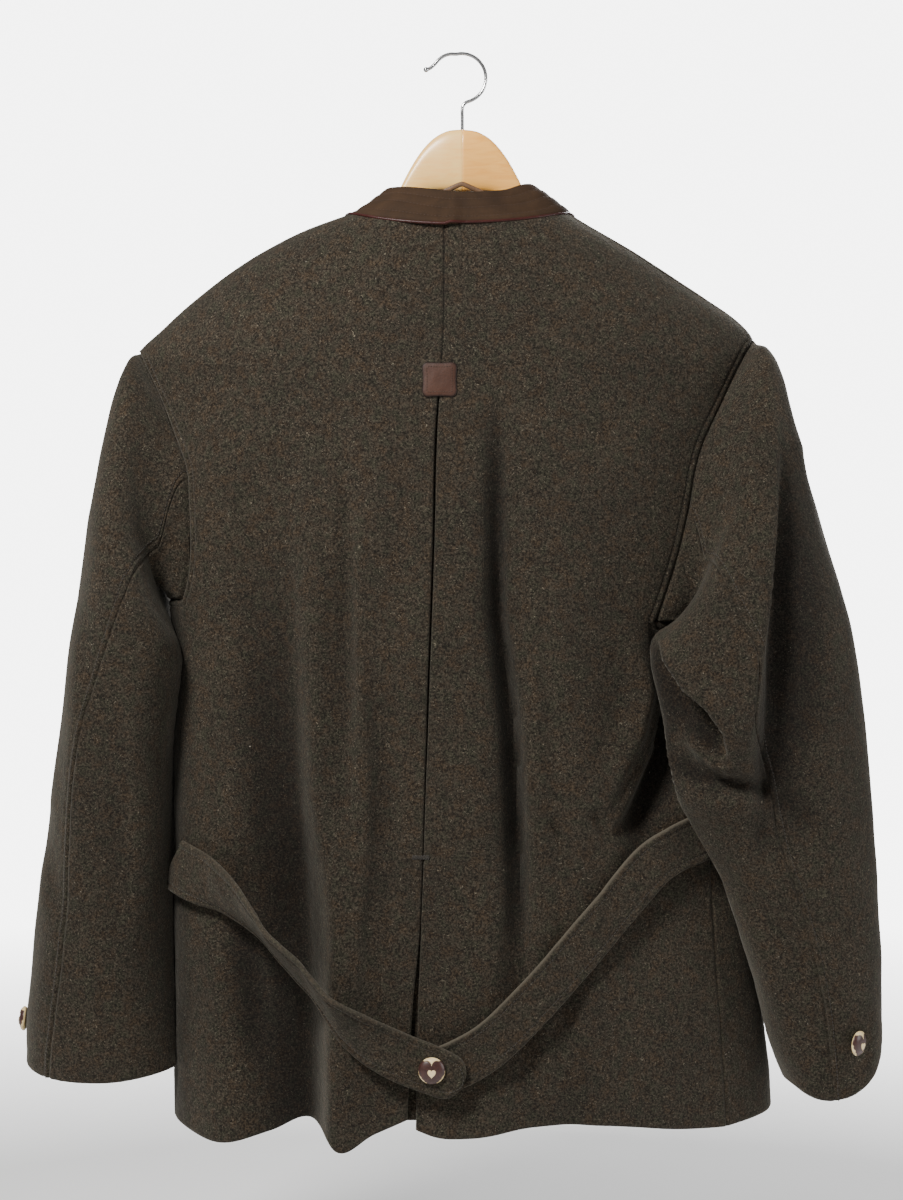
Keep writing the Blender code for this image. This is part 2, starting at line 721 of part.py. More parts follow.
def sleeve_grid(loop, sections, drift, creases, cuff_round, rows):
    """The outer points of a whole sleeve, from its armhole down to its cuff."""
    read = {name: by_index(sections, name) for name in Section._fields}
    run = np.linspace(0, 1, rows + 1) ** 1.15 * (len(sections) - 1)

    def frame(at):
        outer = np.array([read["outer_x"](at), 0, read["outer_z"](at)])
        inner = np.array([read["inner_x"](at), 0, read["inner_z"](at)])
        yaw = math.radians(read["yaw"](at))
        middle, axis = (outer + inner) / 2, (outer - inner) / 2
        axis[1] = -math.tan(yaw) * axis[0]
        middle[1] = read["y"](at)
        return middle, axis, np.array([math.sin(yaw), math.cos(yaw), 0.0])

    def ring(at, turn):
        middle, axis, behind = frame(at)
        c, s = np.cos(turn), np.sin(turn)
        power = 2 / SLEEVE_SQUARE
        swell = np.where(s >= 0, read["back"](at), read["front"](at))
        return (middle + (np.sign(c) * np.abs(c) ** power)[:, None] * axis
                + (swell * np.sign(s) * np.abs(s) ** power)[:, None] * behind)

    middle, axis, behind = frame(0.0)
    local_c = (loop - middle) @ axis / (axis @ axis)
    local_s = (loop - middle) @ behind
    local_s = local_s / np.where(local_s >= 0, sections[0].back, sections[0].front)
    turn = np.unwrap(np.arctan2(local_s, local_c))
    away = loop - ring(0.0, turn)
    even = np.arange(len(loop)) / len(loop) * math.tau * np.sign(turn[-1] - turn[0])
    cuff = len(sections) - 1
    grid = []
    for at in run:
        here = turn + (even - turn) * smooth(at / SLEEVE_EVEN)
        here = here - math.radians(drift) * (at / cuff) * np.sin(np.clip(here, 0, math.pi)) ** 0.5
        lift = crease_height(np.degrees(here), at, creases)
        points = ring(at, here)
        middle, axis, behind = frame(at)
        outward = unit(points - middle)
        points = points + lift[:, None] * outward
        points = points + away * max(0.0, 1 - at / SLEEVE_JOIN) ** 2
        points[:, 2] -= cuff_round * (at / cuff) ** 5 * np.sin(here) ** 2
        grid.append(clear_of_body(points, read["clear"](at)))
    return np.array(grid)


def grid_normals(points):
    """Normals of a grid whose columns wrap round, pointing out of it."""
    round_it = np.roll(points, -1, axis=1) - np.roll(points, 1, axis=1)
    down = np.gradient(points, axis=0)
    normals = unit(np.cross(down, round_it))
    centre = points.mean(axis=1, keepdims=True)
    return normals if np.sum(normals * (points - centre)) > 0 else -normals


def sleeve(name, side, sections, drift, creases, cuff_round, back_under, front_under, rows, cloth):
    """A two-piece sleeve sewn into its armhole: the top piece and the under piece."""
    loop, loop_normal = armhole_loop(side, back_under, front_under)
    grid = sleeve_grid(loop, sections, drift, creases, cuff_round, rows)
    normals = grid_normals(grid)
    normals[0] = loop_normal
    count = loop.shape[0]
    armhole_rows = side.pit_row - side.top_row
    seam_back = round(armhole_rows * 0.62)
    seam_front = count - round(armhole_rows * 0.62)
    under = np.arange(seam_back, seam_front + 1)
    top = np.arange(seam_front, seam_back + count + 1) % count
    for piece, columns in (("under", under), ("top", top)):
        add_wall(f"{name}_{piece}", grid[:, columns], normals[:, columns], WALL, cloth)
    return grid.reshape(-1, 3), normals.reshape(-1, 3)


def pleat_underlay(cloth):
    """The strip that joins the two turned-under edges of the pleat, behind them."""
    rows, columns = 24, 6
    share = np.linspace(-1, 1, columns + 1)[None, :]
    level = np.linspace(PLEAT_TOP_Z - PLEAT_START, HEM_Z + 12, rows + 1)[:, None]
    angles = angle_at(centre_x(level) + share * PLEAT_DEPTH, level)
    heights = np.broadcast_to(level, angles.shape)
    normals = body_normal(angles, heights)
    outer = body(angles, heights) - UNDERLAY_DROP * normals
    add_wall("pleat_underlay", outer, normals, WALL, cloth)


def collar(neck, suede):
    """The stand collar, from the neck seam up to its edge, leaning in."""
    opening = COLLAR_OPENING / COLLAR_TOP_FRONT
    first, last = -0.5 * math.pi + opening, 1.5 * math.pi - opening
    seam_angle, seam_z = np.array(sorted(neck)).T
    angle = [first]
    for turn in seam_angle:
        if turn - angle[-1] > MIN_TURN and turn < last - MIN_TURN:
            angle.append(turn)
    angle = np.array(angle + [last])
    level = np.interp(angle, seam_angle, seam_z)
    stand = lap_lift(body(angle, level, folded=False)[..., 0]) * (np.cos(angle) > 0)
    seam_normal = body_normal(angle, level, stand)
    seam = body(angle, level, stand)
    rise = unit(np.cross(seam_normal, np.gradient(seam, axis=0)))
    bottom = seam + SEAM_GAP * rise * np.sign(rise[:, 2:])
    behind = np.clip(np.sin(angle), 0, 1)
    before = np.clip(-np.sin(angle), 0, 1)
    top_z = (COLLAR_TOP_SIDE_Z + (COLLAR_TOP_BACK_Z - COLLAR_TOP_SIDE_Z) * behind**2
             + (COLLAR_TOP_FRONT_Z - COLLAR_TOP_SIDE_Z) * before**1.7)
    deep = np.where(np.sin(angle) >= 0, COLLAR_TOP_BACK, COLLAR_TOP_FRONT)
    top = np.stack([COLLAR_TOP_X * np.cos(angle), deep * np.sin(angle), top_z], axis=-1)
    outer = bottom + (top - bottom) * np.linspace(0, 1, 4)[:, None, None]
    normals = unit(np.cross(np.gradient(outer, axis=1), np.gradient(outer, axis=0)))
    normals[0] = seam_normal
    add_wall("collar", outer, normals, SUEDE, suede)


def half_belt(name, rows, steps, under, cloth):
    """A half-belt on the back, from the side seam to its rounded end, as a flat strip."""
    read = {column: by_index(rows, column) for column in Belt._fields}
    at = np.linspace(0, len(rows) - 1, steps + 1)
    x, z = read["x"](at), read["z"](at)
    along = unit(np.stack([np.gradient(x), np.gradient(z)], axis=-1))
    up = np.stack([-along[:, 1], along[:, 0]], axis=-1)
    up *= np.sign(up[:, 1:2])
    turn = np.radians(read["turn"](at))
    end = np.clip((at[-1] - at) / (at[-1] - at[-2]) / 2.2, 0, 1)
    width = read["width"](at) * np.sqrt(np.clip(1 - 0.8 * (1 - end) ** 2, 0.05, 1))
    outer, inner = [], []
    for share in np.linspace(-0.5, 0.5, 5):
        flat = share * width * np.cos(turn)
        place_x, place_z = x + up[:, 0] * flat, z + up[:, 1] * flat
        stand = read["lift"](at) + under - share * width * np.sin(turn)
        angle = angle_at(place_x, place_z)
        outer.append(body(angle, place_z, stand, folded=False))
    outer = np.stack(outer, axis=1)
    normals = unit(np.cross(np.gradient(outer, axis=0), np.gradient(outer, axis=1)))
    normals *= np.sign(np.sum(normals * np.array([0.0, 1.0, 0.15]), axis=-1).mean())
    add_wall(name, outer, normals, BELT_THICK, cloth)
    return outer, normals


def back_patch(leather):
    """The four-lobed leather patch over the top of the pleat."""
    steps = np.linspace(-1, 1, 9)
    a, b = np.meshgrid(steps, steps)
    disc_x, disc_z = a * np.sqrt(1 - b * b / 2), b * np.sqrt(1 - a * a / 2)
    turn = np.arctan2(disc_z, disc_x)
    reach = PATCH_HALF * (1.1 - 0.12 * np.cos(4 * turn))
    x = centre_x(np.array(PATCH_Z)) + disc_x * reach
    z = PATCH_Z + disc_z * reach
    angle = angle_at(x, z)
    normals = body_normal(angle, z)
    outer = body(angle, z) + (SEAM_GAP + PATCH_THICK) * normals
    add_wall("back_patch", outer, normals, PATCH_THICK, leather)


def button(name, centre, facing, radius, horn):
    """A domed button with a rounded rim, standing just off the cloth."""
    turned = ((0, 0), (0.82, 0), (1, 0.35), (0.93, 0.7), (0.62, 0.93), (0, 1))
    profile = [(radius * across, BUTTON_THICK * up) for across, up in turned]
    facing = unit(np.asarray(facing, float))
    add_turned(name, profile, 16, np.asarray(centre, float) + SEAM_GAP * facing, facing, horn)


def hanging_loop(cord):
    """The loop inside the collar's back, just showing above its edge."""
    turn = np.linspace(0, math.pi, 13)
    x = HANGER_X - 2 + 12.5 * np.cos(turn)
    z = COLLAR_TOP_BACK_Z - 20 + 25 * np.sin(turn) ** 0.8
    y = np.full(13, COLLAR_TOP_BACK - 8.5)
    add_wire("hanging_loop", np.stack([x, y, z], axis=-1), LOOP_RADIUS, cord, 2)


def hanger_half(name, sign, wood):
    """One arm of the wooden hanger, mitred against the other in the middle."""
    top, low, thick = (track(HANGER_WOOD, "x", column) for column in ("top", "low", "thick"))
    reach = np.linspace(0, HANGER_WOOD[-1].x, 19)
    reach[0] = SEAM_GAP / 2
    turns = np.radians(np.arange(0, 360, 30))
    sections = []
    for x in reach:
        middle, half = (top(x) + low(x)) / 2, (top(x) - low(x)) / 2
        c, s = np.cos(turns), np.sin(turns)
        y = thick(x) / 2 * np.sign(c) * np.abs(c) ** 0.7 - HANGER_SWEEP * x
        z = middle + half * np.sign(s) * np.abs(s) ** 0.7 + HANGER_TILT * sign * x
        sections.append(np.stack([np.full(12, HANGER_X + sign * x), y, z], axis=-1))
    points = np.concatenate(sections)
    faces = []
    for i in range(len(reach) - 1):
        for k in range(12):
            a, b = i * 12 + k, i * 12 + (k + 1) % 12
            faces.append([a, b, b + 12, a + 12][::sign])
    first, last = list(range(12)), list(range(len(points) - 12, len(points)))
    faces += [first[::-1][::sign], last[::sign]]
    add_mesh(name, points, faces, wood)


def hook(chrome):
    """The wire hook, from its tip over the top and down into the hanger."""
    over = np.radians(np.linspace(78, 252, 22))
    bend = [(HOOK_X + HOOK_BEND * math.cos(a), 0, HOOK_Z + HOOK_BEND * math.sin(a)) for a in over]
    tip = [(x, 0, z) for x, z in HOOK_TIP]
    stem = [(x, 0, z) for x, z in HOOK_STEM]
    add_wire("hook", tip + bend + stem, HOOK_WIRE, chrome)


for old in list(bpy.data.objects):
    bpy.data.objects.remove(old)

loden = material("loden", (0.045, 0.038, 0.028), 0.9)
suede = material("suede", (0.11, 0.055, 0.03), 0.85)
leather = material("leather", (0.09, 0.04, 0.024), 0.6)
horn = material("horn", (0.78, 0.7, 0.5), 0.3)
wood = material("wood", (0.86, 0.68, 0.42), 0.45)
chrome = material("chrome", (0.8, 0.8, 0.8), 0.15, 1.0)

left = Side(1, ARMHOLE_LEFT, SEAMS_LEFT, 4, 8, 8)
right = Side(-1, ARMHOLE_RIGHT, SEAMS_RIGHT, 4, 8, 8)
neck = []
neck += back_panel("back_left", left, "left_gap", hem_back_left, 13, 2, loden)
neck += back_panel("back_right", right, "right_gap", hem_back_right, 12, 0, loden)
neck += front_panel("front_left", left, 9, 2, loden)
neck += front_panel("front_right", right, 9, 5, loden)
pleat_underlay(loden)
sleeve_left = sleeve("sleeve_left", left, SLEEVE_LEFT, SEAM_DRIFT_LEFT, CREASES_LEFT,
                     CUFF_ROUND_LEFT, 2, 2, 16, loden)
sleeve_right = sleeve("sleeve_right", right, SLEEVE_RIGHT, SEAM_DRIFT_RIGHT, CREASES_RIGHT,
                      CUFF_ROUND_RIGHT, 0, 5, 20, loden)
collar(neck, suede)
back_patch(leather)
half_belt("half_belt_right", BELT_RIGHT, 22, 0, loden)
belt, belt_normals = half_belt("half_belt_left", BELT_LEFT, 24, 0, loden)
button("belt_button", belt[21, 2], belt_normals[21, 2], BUTTON_RADIUS, horn)
for k, z in enumerate(FRONT_BUTTONS, 1):
    place = np.array([-0.5 * math.pi]), np.array([z]), LAP_LIFT
    button(f"front_button_{k}", body(*place)[0], body_normal(*place)[0], BUTTON_RADIUS, horn)
for name, (points, normals), target in (("cuff_button_left", sleeve_left, CUFF_BUTTON_LEFT),
                                        ("cuff_button_right", sleeve_right, CUFF_BUTTON_RIGHT)):
    nearest = np.argmin(np.linalg.norm(points - np.array(target), axis=1))
    button(name, points[nearest], normals[nearest], CUFF_BUTTON_RADIUS, horn)
hanging_loop(leather)
hanger_half("hanger_left", 1, wood)
hanger_half("hanger_right", -1, wood)
hook(chrome)
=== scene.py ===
"""Tyrolean loden jacket, hanging closed on a wooden hanger.

It hangs from the inside of the hanger's hook, which is the origin. +Z is up, the front faces -Y
and the wearer's left side is +X. Lengths are in millimetres until a mesh is made.
"""

import math
from collections import namedtuple

import bpy
import numpy as np
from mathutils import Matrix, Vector


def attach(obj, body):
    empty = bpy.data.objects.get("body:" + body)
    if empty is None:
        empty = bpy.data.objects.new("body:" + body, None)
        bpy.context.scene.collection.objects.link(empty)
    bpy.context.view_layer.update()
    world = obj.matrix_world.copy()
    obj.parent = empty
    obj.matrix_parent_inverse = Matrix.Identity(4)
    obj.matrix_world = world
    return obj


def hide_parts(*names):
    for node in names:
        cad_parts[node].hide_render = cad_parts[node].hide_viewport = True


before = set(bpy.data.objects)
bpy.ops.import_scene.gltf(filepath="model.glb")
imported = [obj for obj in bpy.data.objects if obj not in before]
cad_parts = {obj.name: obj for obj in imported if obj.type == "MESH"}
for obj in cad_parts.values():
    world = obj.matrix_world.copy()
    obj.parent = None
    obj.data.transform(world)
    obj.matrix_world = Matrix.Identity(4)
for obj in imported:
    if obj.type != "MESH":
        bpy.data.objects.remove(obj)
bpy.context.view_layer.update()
MM = 0.001

# ---------------------------------------------------------------------------------------------
# The back: two panels of thick milled loden, sewn together down the middle as far as the patch.
# Below it each panel's middle edge turns under, and the two folds make an inverted pleat. They
# are sewn to the fronts at the shoulders and the sides, and hang in soft folds from the hanger.
# ---------------------------------------------------------------------------------------------

WALL = 2.4
HEM_ALLOWANCE = 38.0  # turned up inside, so the wall is thicker there
HEM_THICK = 4.4
PLEAT_BEND = 2.7
PLEAT_TURNS = range(20, 180, 20)
PLEAT_DEPTH = 44.0
PLEAT_TOP_Z, PLEAT_START = -268.0, 7.0
NECK_SIDE_Z, NECK_BACK_Z, NECK_FRONT_Z = -139.0, -158.0, -215.0
NECK_BLEND, HEM_BLEND = 260.0, 170.0
HEM_Z = -912.0
FORWARD_BOW, BOW_REACH = 18.0, 260.0
ROW_STEP = 3.7
COLUMN_STEP = 4.0
PANEL_WIDE = 250.0


def rows(kind, *values):
    """A table whose rows are all of one kind."""
    return tuple(kind(*row) for row in values)


Ring = namedtuple("Ring", "z left right back front square")
RINGS = rows(
    Ring,
    (-139, 97, 99, 60, 76, 2.0), (-150, 130, 118, 62, 78, 2.0), (-166, 163, 146, 64, 79, 2.0),
    (-187, 198, 181, 66, 80, 2.0), (-208, 225, 213, 68, 80, 2.0), (-234, 256, 248, 71, 81, 2.05),
    (-253, 276, 260, 73, 82, 2.1), (-300, 268, 258, 76, 83, 2.2), (-400, 257, 252, 80, 84, 2.35),
    (-480, 249, 248, 80, 84, 2.4), (-600, 246, 247, 77, 82, 2.5), (-750, 246, 255, 75, 80, 2.5),
    (-860, 246, 267, 77, 82, 2.5), (-940, 247, 273, 79, 84, 2.5),
)
Centre = namedtuple("Centre", "z x left_gap right_gap")
CENTRE_BACK = rows(
    Centre,
    (-150, 12, -0.3, -0.3), (-262, 14, -0.3, -0.3), (-276, 15, 0.2, 0.2), (-300, 17, 0.6, 0.6),
    (-430, 21, 0.9, 0.7), (-545, 25, 0.8, 0.6), (-665, 29, 0.3, 0.3), (-700, 30, 0.4, 0.3),
    (-740, 31.5, 0.4, 0.3), (-800, 34, 3.2, 0.6), (-930, 37, 6.0, 0.8),
)
Armhole = namedtuple("Armhole", "z back front")
ARMHOLE_LEFT = rows(
    Armhole,
    (-253, 275.8, 275.8), (-275, 266, 264), (-300, 254, 250), (-330, 242, 236), (-354, 232, 228),
    (-390, 229, 220), (-430, 229, 219), (-455, 232, 224), (-468, 236, 231),
)
ARMHOLE_RIGHT = rows(
    Armhole,
    (-243, 254.5, 254.5), (-275, 236, 250), (-304, 222, 242), (-335, 207, 235), (-357, 200, 231),
    (-390, 194, 227), (-431, 184, 226), (-465, 173, 230), (-487, 165, 236),
)
Seam = namedtuple("Seam", "z angle")
SEAMS_LEFT = rows(
    Seam,
    (-139, -5.0), (-200, -5.0), (-253, -2.0), (-468, -4.0), (-700, -4.0), (-930, -4.0),
)
SEAMS_RIGHT = rows(
    Seam,
    (-139, 20.0), (-200, 15.0), (-243, 5.0), (-487, 52.0), (-540, 38.0), (-620, 35.0),
    (-700, 35.0), (-800, 36.0), (-930, 37.0),
)
Hem = namedtuple("Hem", "x z")
HEM_BACK_LEFT = rows(
    Hem,
    (250, -912), (198, -924), (160, -914), (128, -905), (114, -914), (100, -925), (70, -911),
    (36, -896),
)
HEM_BACK_RIGHT = rows(
    Hem,
    (36, -907), (20, -913), (-10, -914), (-60, -906), (-118, -905), (-200, -912), (-245, -911),
    (-275, -905),
)
# A fold hangs along a line from top to low, bowed sideways in its middle. A minus height is a
# hollow, and the reaches to each side say how steep its flanks are.
Fold = namedtuple("Fold", "x_top z_top x_low z_low bow height to_left to_right")
BACK_FOLDS = rows(
    Fold,
    (-34, -250, -62, -1010, 0, -9, 34, 22), (-78, -330, -112, -930, 0, 6, 20, 55),
    (184, -300, 170, -760, 0, -5, 40, 30), (139, -320, 124, -760, 0, 4, 22, 22),
    (101, -380, 98, -700, 0, -6, 22, 20), (72, -350, 78, -740, 0, 5, 22, 26),
    (148, -330, 124, -1240, 0, -27, 60, 26), (100, -640, 98, -1240, 0, 5, 20, 34),
    (206, -620, 200, -1240, 0, 5, 34, 40), (-196, -470, -150, -720, 0, -13, 26, 34),
    (-92, -740, -88, -1160, 0, -7, 34, 30),
)


# A crease follows a line of (x, z) points down the cloth, steeper on one side than on the other
Crease = namedtuple("Crease", "height to_left to_right line")


def creases(*values):
    """Creases from rows of height, reach to each side and the points of the line."""
    return tuple(Crease(*row[:3], row[3:]) for row in values)


BACK_CREASES = creases(
    (-17, 18, 10, (-33, -300), (-33, -400), (-34, -480), (-41, -534), (-47, -584), (-50, -650),
     (-51, -710), (-47, -790)),
    (5, 10, 26, (-50, -520), (-58, -600), (-62, -680), (-64, -750), (-62, -830)),
    (-20, 9, 34, (-162, -486), (-168, -514), (-181, -556), (-172, -600), (-152, -634), (-128, -672)),
    (8, 26, 8, (-144, -484), (-150, -510), (-160, -548), (-152, -580), (-136, -612), (-116, -650)),
    (-6, 6, 8, (-74, -650), (-84, -664), (-96, -676)),
    (-7, 7, 9, (-108, -642), (-116, -656), (-126, -672)),
    (-12, 34, 15, (126, -640), (121, -700), (115, -760), (117, -830), (118, -960)),
    (6, 18, 42, (98, -640), (100, -690), (103, -750), (106, -830), (106, -960)),
    (-4, 14, 12, (96, -330), (92, -420), (90, -520), (90, -620)),
    (-8, 10, 28, (77, -430), (73, -520), (69, -580), (67, -640), (70, -700), (76, -760), (78, -830)),
    (-12, 30, 22, (192, -680), (185, -740), (178, -800), (172, -870)),
)


def track(rows, key, column):
    """A smooth run of values through one column of a table."""
    at = np.array([getattr(row, key) for row in rows], float)
    value = np.array([getattr(row, column) for row in rows], float)
    order = np.argsort(at)
    at, value = at[order], value[order]
    slope = np.gradient(value, at)

    def read(query):
        query = np.clip(query, at[0], at[-1])
        i = np.clip(np.searchsorted(at, query, side="right") - 1, 0, len(at) - 2)
        span = at[i + 1] - at[i]
        t = (query - at[i]) / span
        start = (1 + 2 * t) * (1 - t) ** 2 * value[i] + t * (1 - t) ** 2 * span * slope[i]
        end = t**2 * (3 - 2 * t) * value[i + 1] + t**2 * (t - 1) * span * slope[i + 1]
        return start + end

    return read


def smooth(t):
    t = np.clip(t, 0.0, 1.0)
    return t * t * (3 - 2 * t)


def unit(vectors):
    return vectors / np.maximum(np.linalg.norm(vectors, axis=-1, keepdims=True), 1e-9)


half_left, half_right = track(RINGS, "z", "left"), track(RINGS, "z", "right")
deep_back, deep_front = track(RINGS, "z", "back"), track(RINGS, "z", "front")
square = track(RINGS, "z", "square")
centre_x = track(CENTRE_BACK, "z", "x")
hem_back_left = track(HEM_BACK_LEFT, "x", "z")
hem_back_right = track(HEM_BACK_RIGHT, "x", "z")


def fold_height(x, z, folds):
    """How far the folds lift the cloth at a place on the panel."""
    total = np.zeros(np.broadcast(x, z).shape)
    for fold in folds:
        run = np.clip((fold.z_top - z) / (fold.z_top - fold.z_low), 0, 1)
        line = fold.x_top + (fold.x_low - fold.x_top) * run + fold.bow * np.sin(math.pi * run)
        aside = x - line
        reach = np.where(aside >= 0, fold.to_left, fold.to_right)
        across = np.cos(np.clip(aside / reach, -1, 1) * math.pi / 2) ** 2
        total += fold.height * across * np.sin(math.pi * run)
    return total


def crease_lift(x, z, creases):
    """How far the creases lift the cloth at a place; to_left is the side of greater x."""
    x, z = np.broadcast_arrays(np.asarray(x, float), np.asarray(z, float))
    total = np.zeros(x.shape)
    for crease in creases:
        knots = np.array(crease.line, float)
        length = np.append(0, np.cumsum(np.linalg.norm(np.diff(knots, axis=0), axis=-1)))
        near = (z < knots[:, 1].max() + 60) & (z > knots[:, 1].min() - 60)
        near &= (x > knots[:, 0].min() - 70) & (x < knots[:, 0].max() + 70)
        px, pz = x[near], z[near]
        best, side, at = np.full(px.shape, np.inf), np.ones(px.shape), np.zeros(px.shape)
        for start, end, gone in zip(knots[:-1], knots[1:], length):
            along = end - start
            share = ((px - start[0]) * along[0] + (pz - start[1]) * along[1]) / (along @ along)
            share = np.clip(share, 0, 1)
            off_x, off_z = px - start[0] - share * along[0], pz - start[1] - share * along[1]
            far = np.hypot(off_x, off_z)
            closer = far < best
            best = np.where(closer, far, best)
            side = np.where(closer, far * np.sign(along[0] * off_z - along[1] * off_x), side)
            at = np.where(closer, gone + share * np.linalg.norm(along), at)
        blend = smooth(side / 2.4 + 0.5)
        reach = crease.to_right + (crease.to_left - crease.to_right) * blend
        taper = np.sin(math.pi * np.clip(at / length[-1], 0, 1)) ** 0.7
        across = np.cos(np.clip(best / reach, 0, 1) * math.pi / 2) ** 2
        total[near] += crease.height * across * taper
    return total


# The cloth is never quite even: long shallow waves, the same each time
WAVES = np.random.default_rng(11)
WAVE_TURNS = WAVES.uniform(0, math.tau, 26)
WAVE_LENGTHS = WAVES.uniform(26, 130, 26)
WAVE_STARTS = WAVES.uniform(0, math.tau, 26)


def unevenness(a, b):
    """A small lift over the surface, in millimetres, from two distances across it."""
    total = np.zeros(np.broadcast(a, b).shape)
    for turn, length, start in zip(WAVE_TURNS, WAVE_LENGTHS, WAVE_STARTS):
        phase = (a * math.cos(turn) + b * math.sin(turn)) / length * math.tau
        total += 0.0019 * length * np.sin(phase + start)
    return total


def body(angle, z, lift=0.0, folded=True):
    """A point of the jacket's outer face: angle 0 is its left side, a quarter turn its back."""
    angle, z, lift = np.broadcast_arrays(np.asarray(angle, float), np.asarray(z, float), lift)
    c, s = np.cos(angle), np.sin(angle)
    half = np.where(c >= 0, half_left(z), half_right(z))
    deep = np.where(s >= 0, deep_back(z), deep_front(z))
    power = square(z)
    ring_x = half * np.sign(c) * np.abs(c) ** (2 / power)
    ring_y = deep * np.sign(s) * np.abs(s) ** (2 / power)
    out_x = np.sign(c) * np.abs(ring_x / half) ** (power - 1) / half
    out_y = np.sign(s) * np.abs(ring_y / deep) ** (power - 1) / deep
    length = np.hypot(out_x, out_y)
    if folded:
        still = 1 - np.abs(ring_x / half) ** 6
        behind = fold_height(ring_x, z, BACK_FOLDS) + crease_lift(ring_x, z, BACK_CREASES)
        before = fold_height(ring_x, z, FRONT_FOLDS) + crease_lift(ring_x, z, FRONT_CREASES)
        lift = lift + still * np.where(s >= 0, behind, before) + unevenness(ring_x, z)
    x = ring_x + lift * out_x / length
    y = ring_y + lift * out_y / length - FORWARD_BOW * (ring_x / BOW_REACH) ** 2
    return np.stack([x, y, z], axis=-1)


def body_normal(angle, z, lift=0.0, folded=True):
    turn, drop = 0.004, 0.6
    round_it = body(angle + turn, z, lift, folded) - body(angle - turn, z, lift, folded)
    up = body(angle, z + drop, lift, folded) - body(angle, z - drop, lift, folded)
    return unit(np.cross(round_it, up))


def angle_at(x, z):
    """The back's ring angle where the ring stands x from the middle plane."""
    half = np.where(np.asarray(x) >= 0, half_left(z), half_right(z))
    c = np.clip(np.abs(x) / half, 0, 1) ** (square(z) / 2)
    return np.arccos(np.sign(x) * c)


SEAM_STEPS = np.array([0, 0.5, 1.1, 1.8, 2.7, 3.8, 4.8, 5.5, 6.1, 6.8, 7.8, 9.4, 12.0])
PLAIN_STEPS = np.array([0, 0.5, 1.1, 1.8, 2.7, 4.2, 6.5])
STITCH_IN = 6.1  # the topstitching runs this far from the seam
STITCH_STEP = 8  # which of the steps that is
FAR = 99.0
BETWEEN = round(PANEL_WIDE / COLUMN_STEP)  # columns between the steps at a panel's two edges
LINE_POINTS = 90  # points that a level's line is measured with


class Side:
    """The seams of one side, level by level from the neck down to the hem."""

    def __init__(self, sign, armhole, seams):
        top, pit = armhole[0].z, armhole[-1].z
        shoulder = np.linspace(NECK_SIDE_Z, top, round((NECK_SIDE_Z - top) / ROW_STEP))
        down = np.linspace(PLEAT_TOP_Z - PLEAT_START, pit, round((PLEAT_TOP_Z - pit) / ROW_STEP))
        opening = np.append(np.linspace(top, PLEAT_TOP_Z, 5), down)
        seam_rows = pit - SEAM_STEPS
        long_part = np.linspace(seam_rows[-1], HEM_Z + 5, round((seam_rows[-1] - HEM_Z) / ROW_STEP))
        hem_rows = HEM_Z + np.array([3.4, 2.2, 1.2, 0.5, 0.0])
        self.sign = sign
        self.levels = np.concatenate([shoulder, opening[1:], seam_rows[1:], long_part[1:], hem_rows])
        self.top_row = len(shoulder) - 1
        self.pit_row = self.top_row + len(opening) - 1
        self.seam = np.radians(track(seams, "z", "angle")(self.levels))
        half = half_left if sign > 0 else half_right
        self.ends = {}
        for face, facing in (("back", 1), ("front", -1)):
            reach = track(armhole, "z", face)(opening) / half(opening)
            angle = facing * np.arccos(np.clip(reach, 0, 1) ** (square(opening) / 2))
            angle[0] = self.seam[self.top_row]
            self.ends[face] = np.append(self.seam[: self.top_row], angle)
        gap = self.ends["back"][-1] - self.seam[self.pit_row]
        self.seam[self.pit_row :] += gap if abs(gap) < 0.02 else 0.0

    def angle(self, from_side):
        return from_side if self.sign > 0 else math.pi - from_side

    def corner(self, face, row):
        """The panel's outer edge, or below the armhole the line that carries on from its corner."""
        if row <= self.pit_row:
            return self.ends[face][row]
        return self.ends[face][-1] + self.seam[row] - self.seam[self.pit_row]


def neck_level(angle):
    s = np.sin(angle)
    middle = np.where(s >= 0, NECK_BACK_Z, NECK_FRONT_Z)
    return NECK_SIDE_Z + (middle - NECK_SIDE_Z) * np.abs(s) ** 1.4


def spread(run, first, last, between):
    """Places along a strip, close together at its two edges."""
    first = first * min(1.0, 0.3 * run / max(first[-1], 1e-6))
    last = last * min(1.0, 0.3 * run / last[-1])
    inside = np.linspace(first[-1], run - last[-1], between + 2)[1:-1]
    return np.concatenate([first, inside, (run - last)[::-1]])


def sewn_edge(d, stitched=True):
    """The cloth rolls in at a seam, swells beside it and sinks under a row of stitches."""
    dip = -1.2 * np.exp(-((d / 1.2) ** 2)) + 0.3 * np.exp(-(((d - 3.2) / 1.6) ** 2))
    if stitched:
        dip = dip - 0.7 * np.exp(-(((d - STITCH_IN) / 0.8) ** 2))
        dip = dip + 0.25 * np.exp(-(((d - 8.6) / 1.8) ** 2))
    return dip


def turned_edge(d):
    """The cloth rounds in at a hem."""
    return -1.3 * np.exp(-((d / 1.4) ** 2))


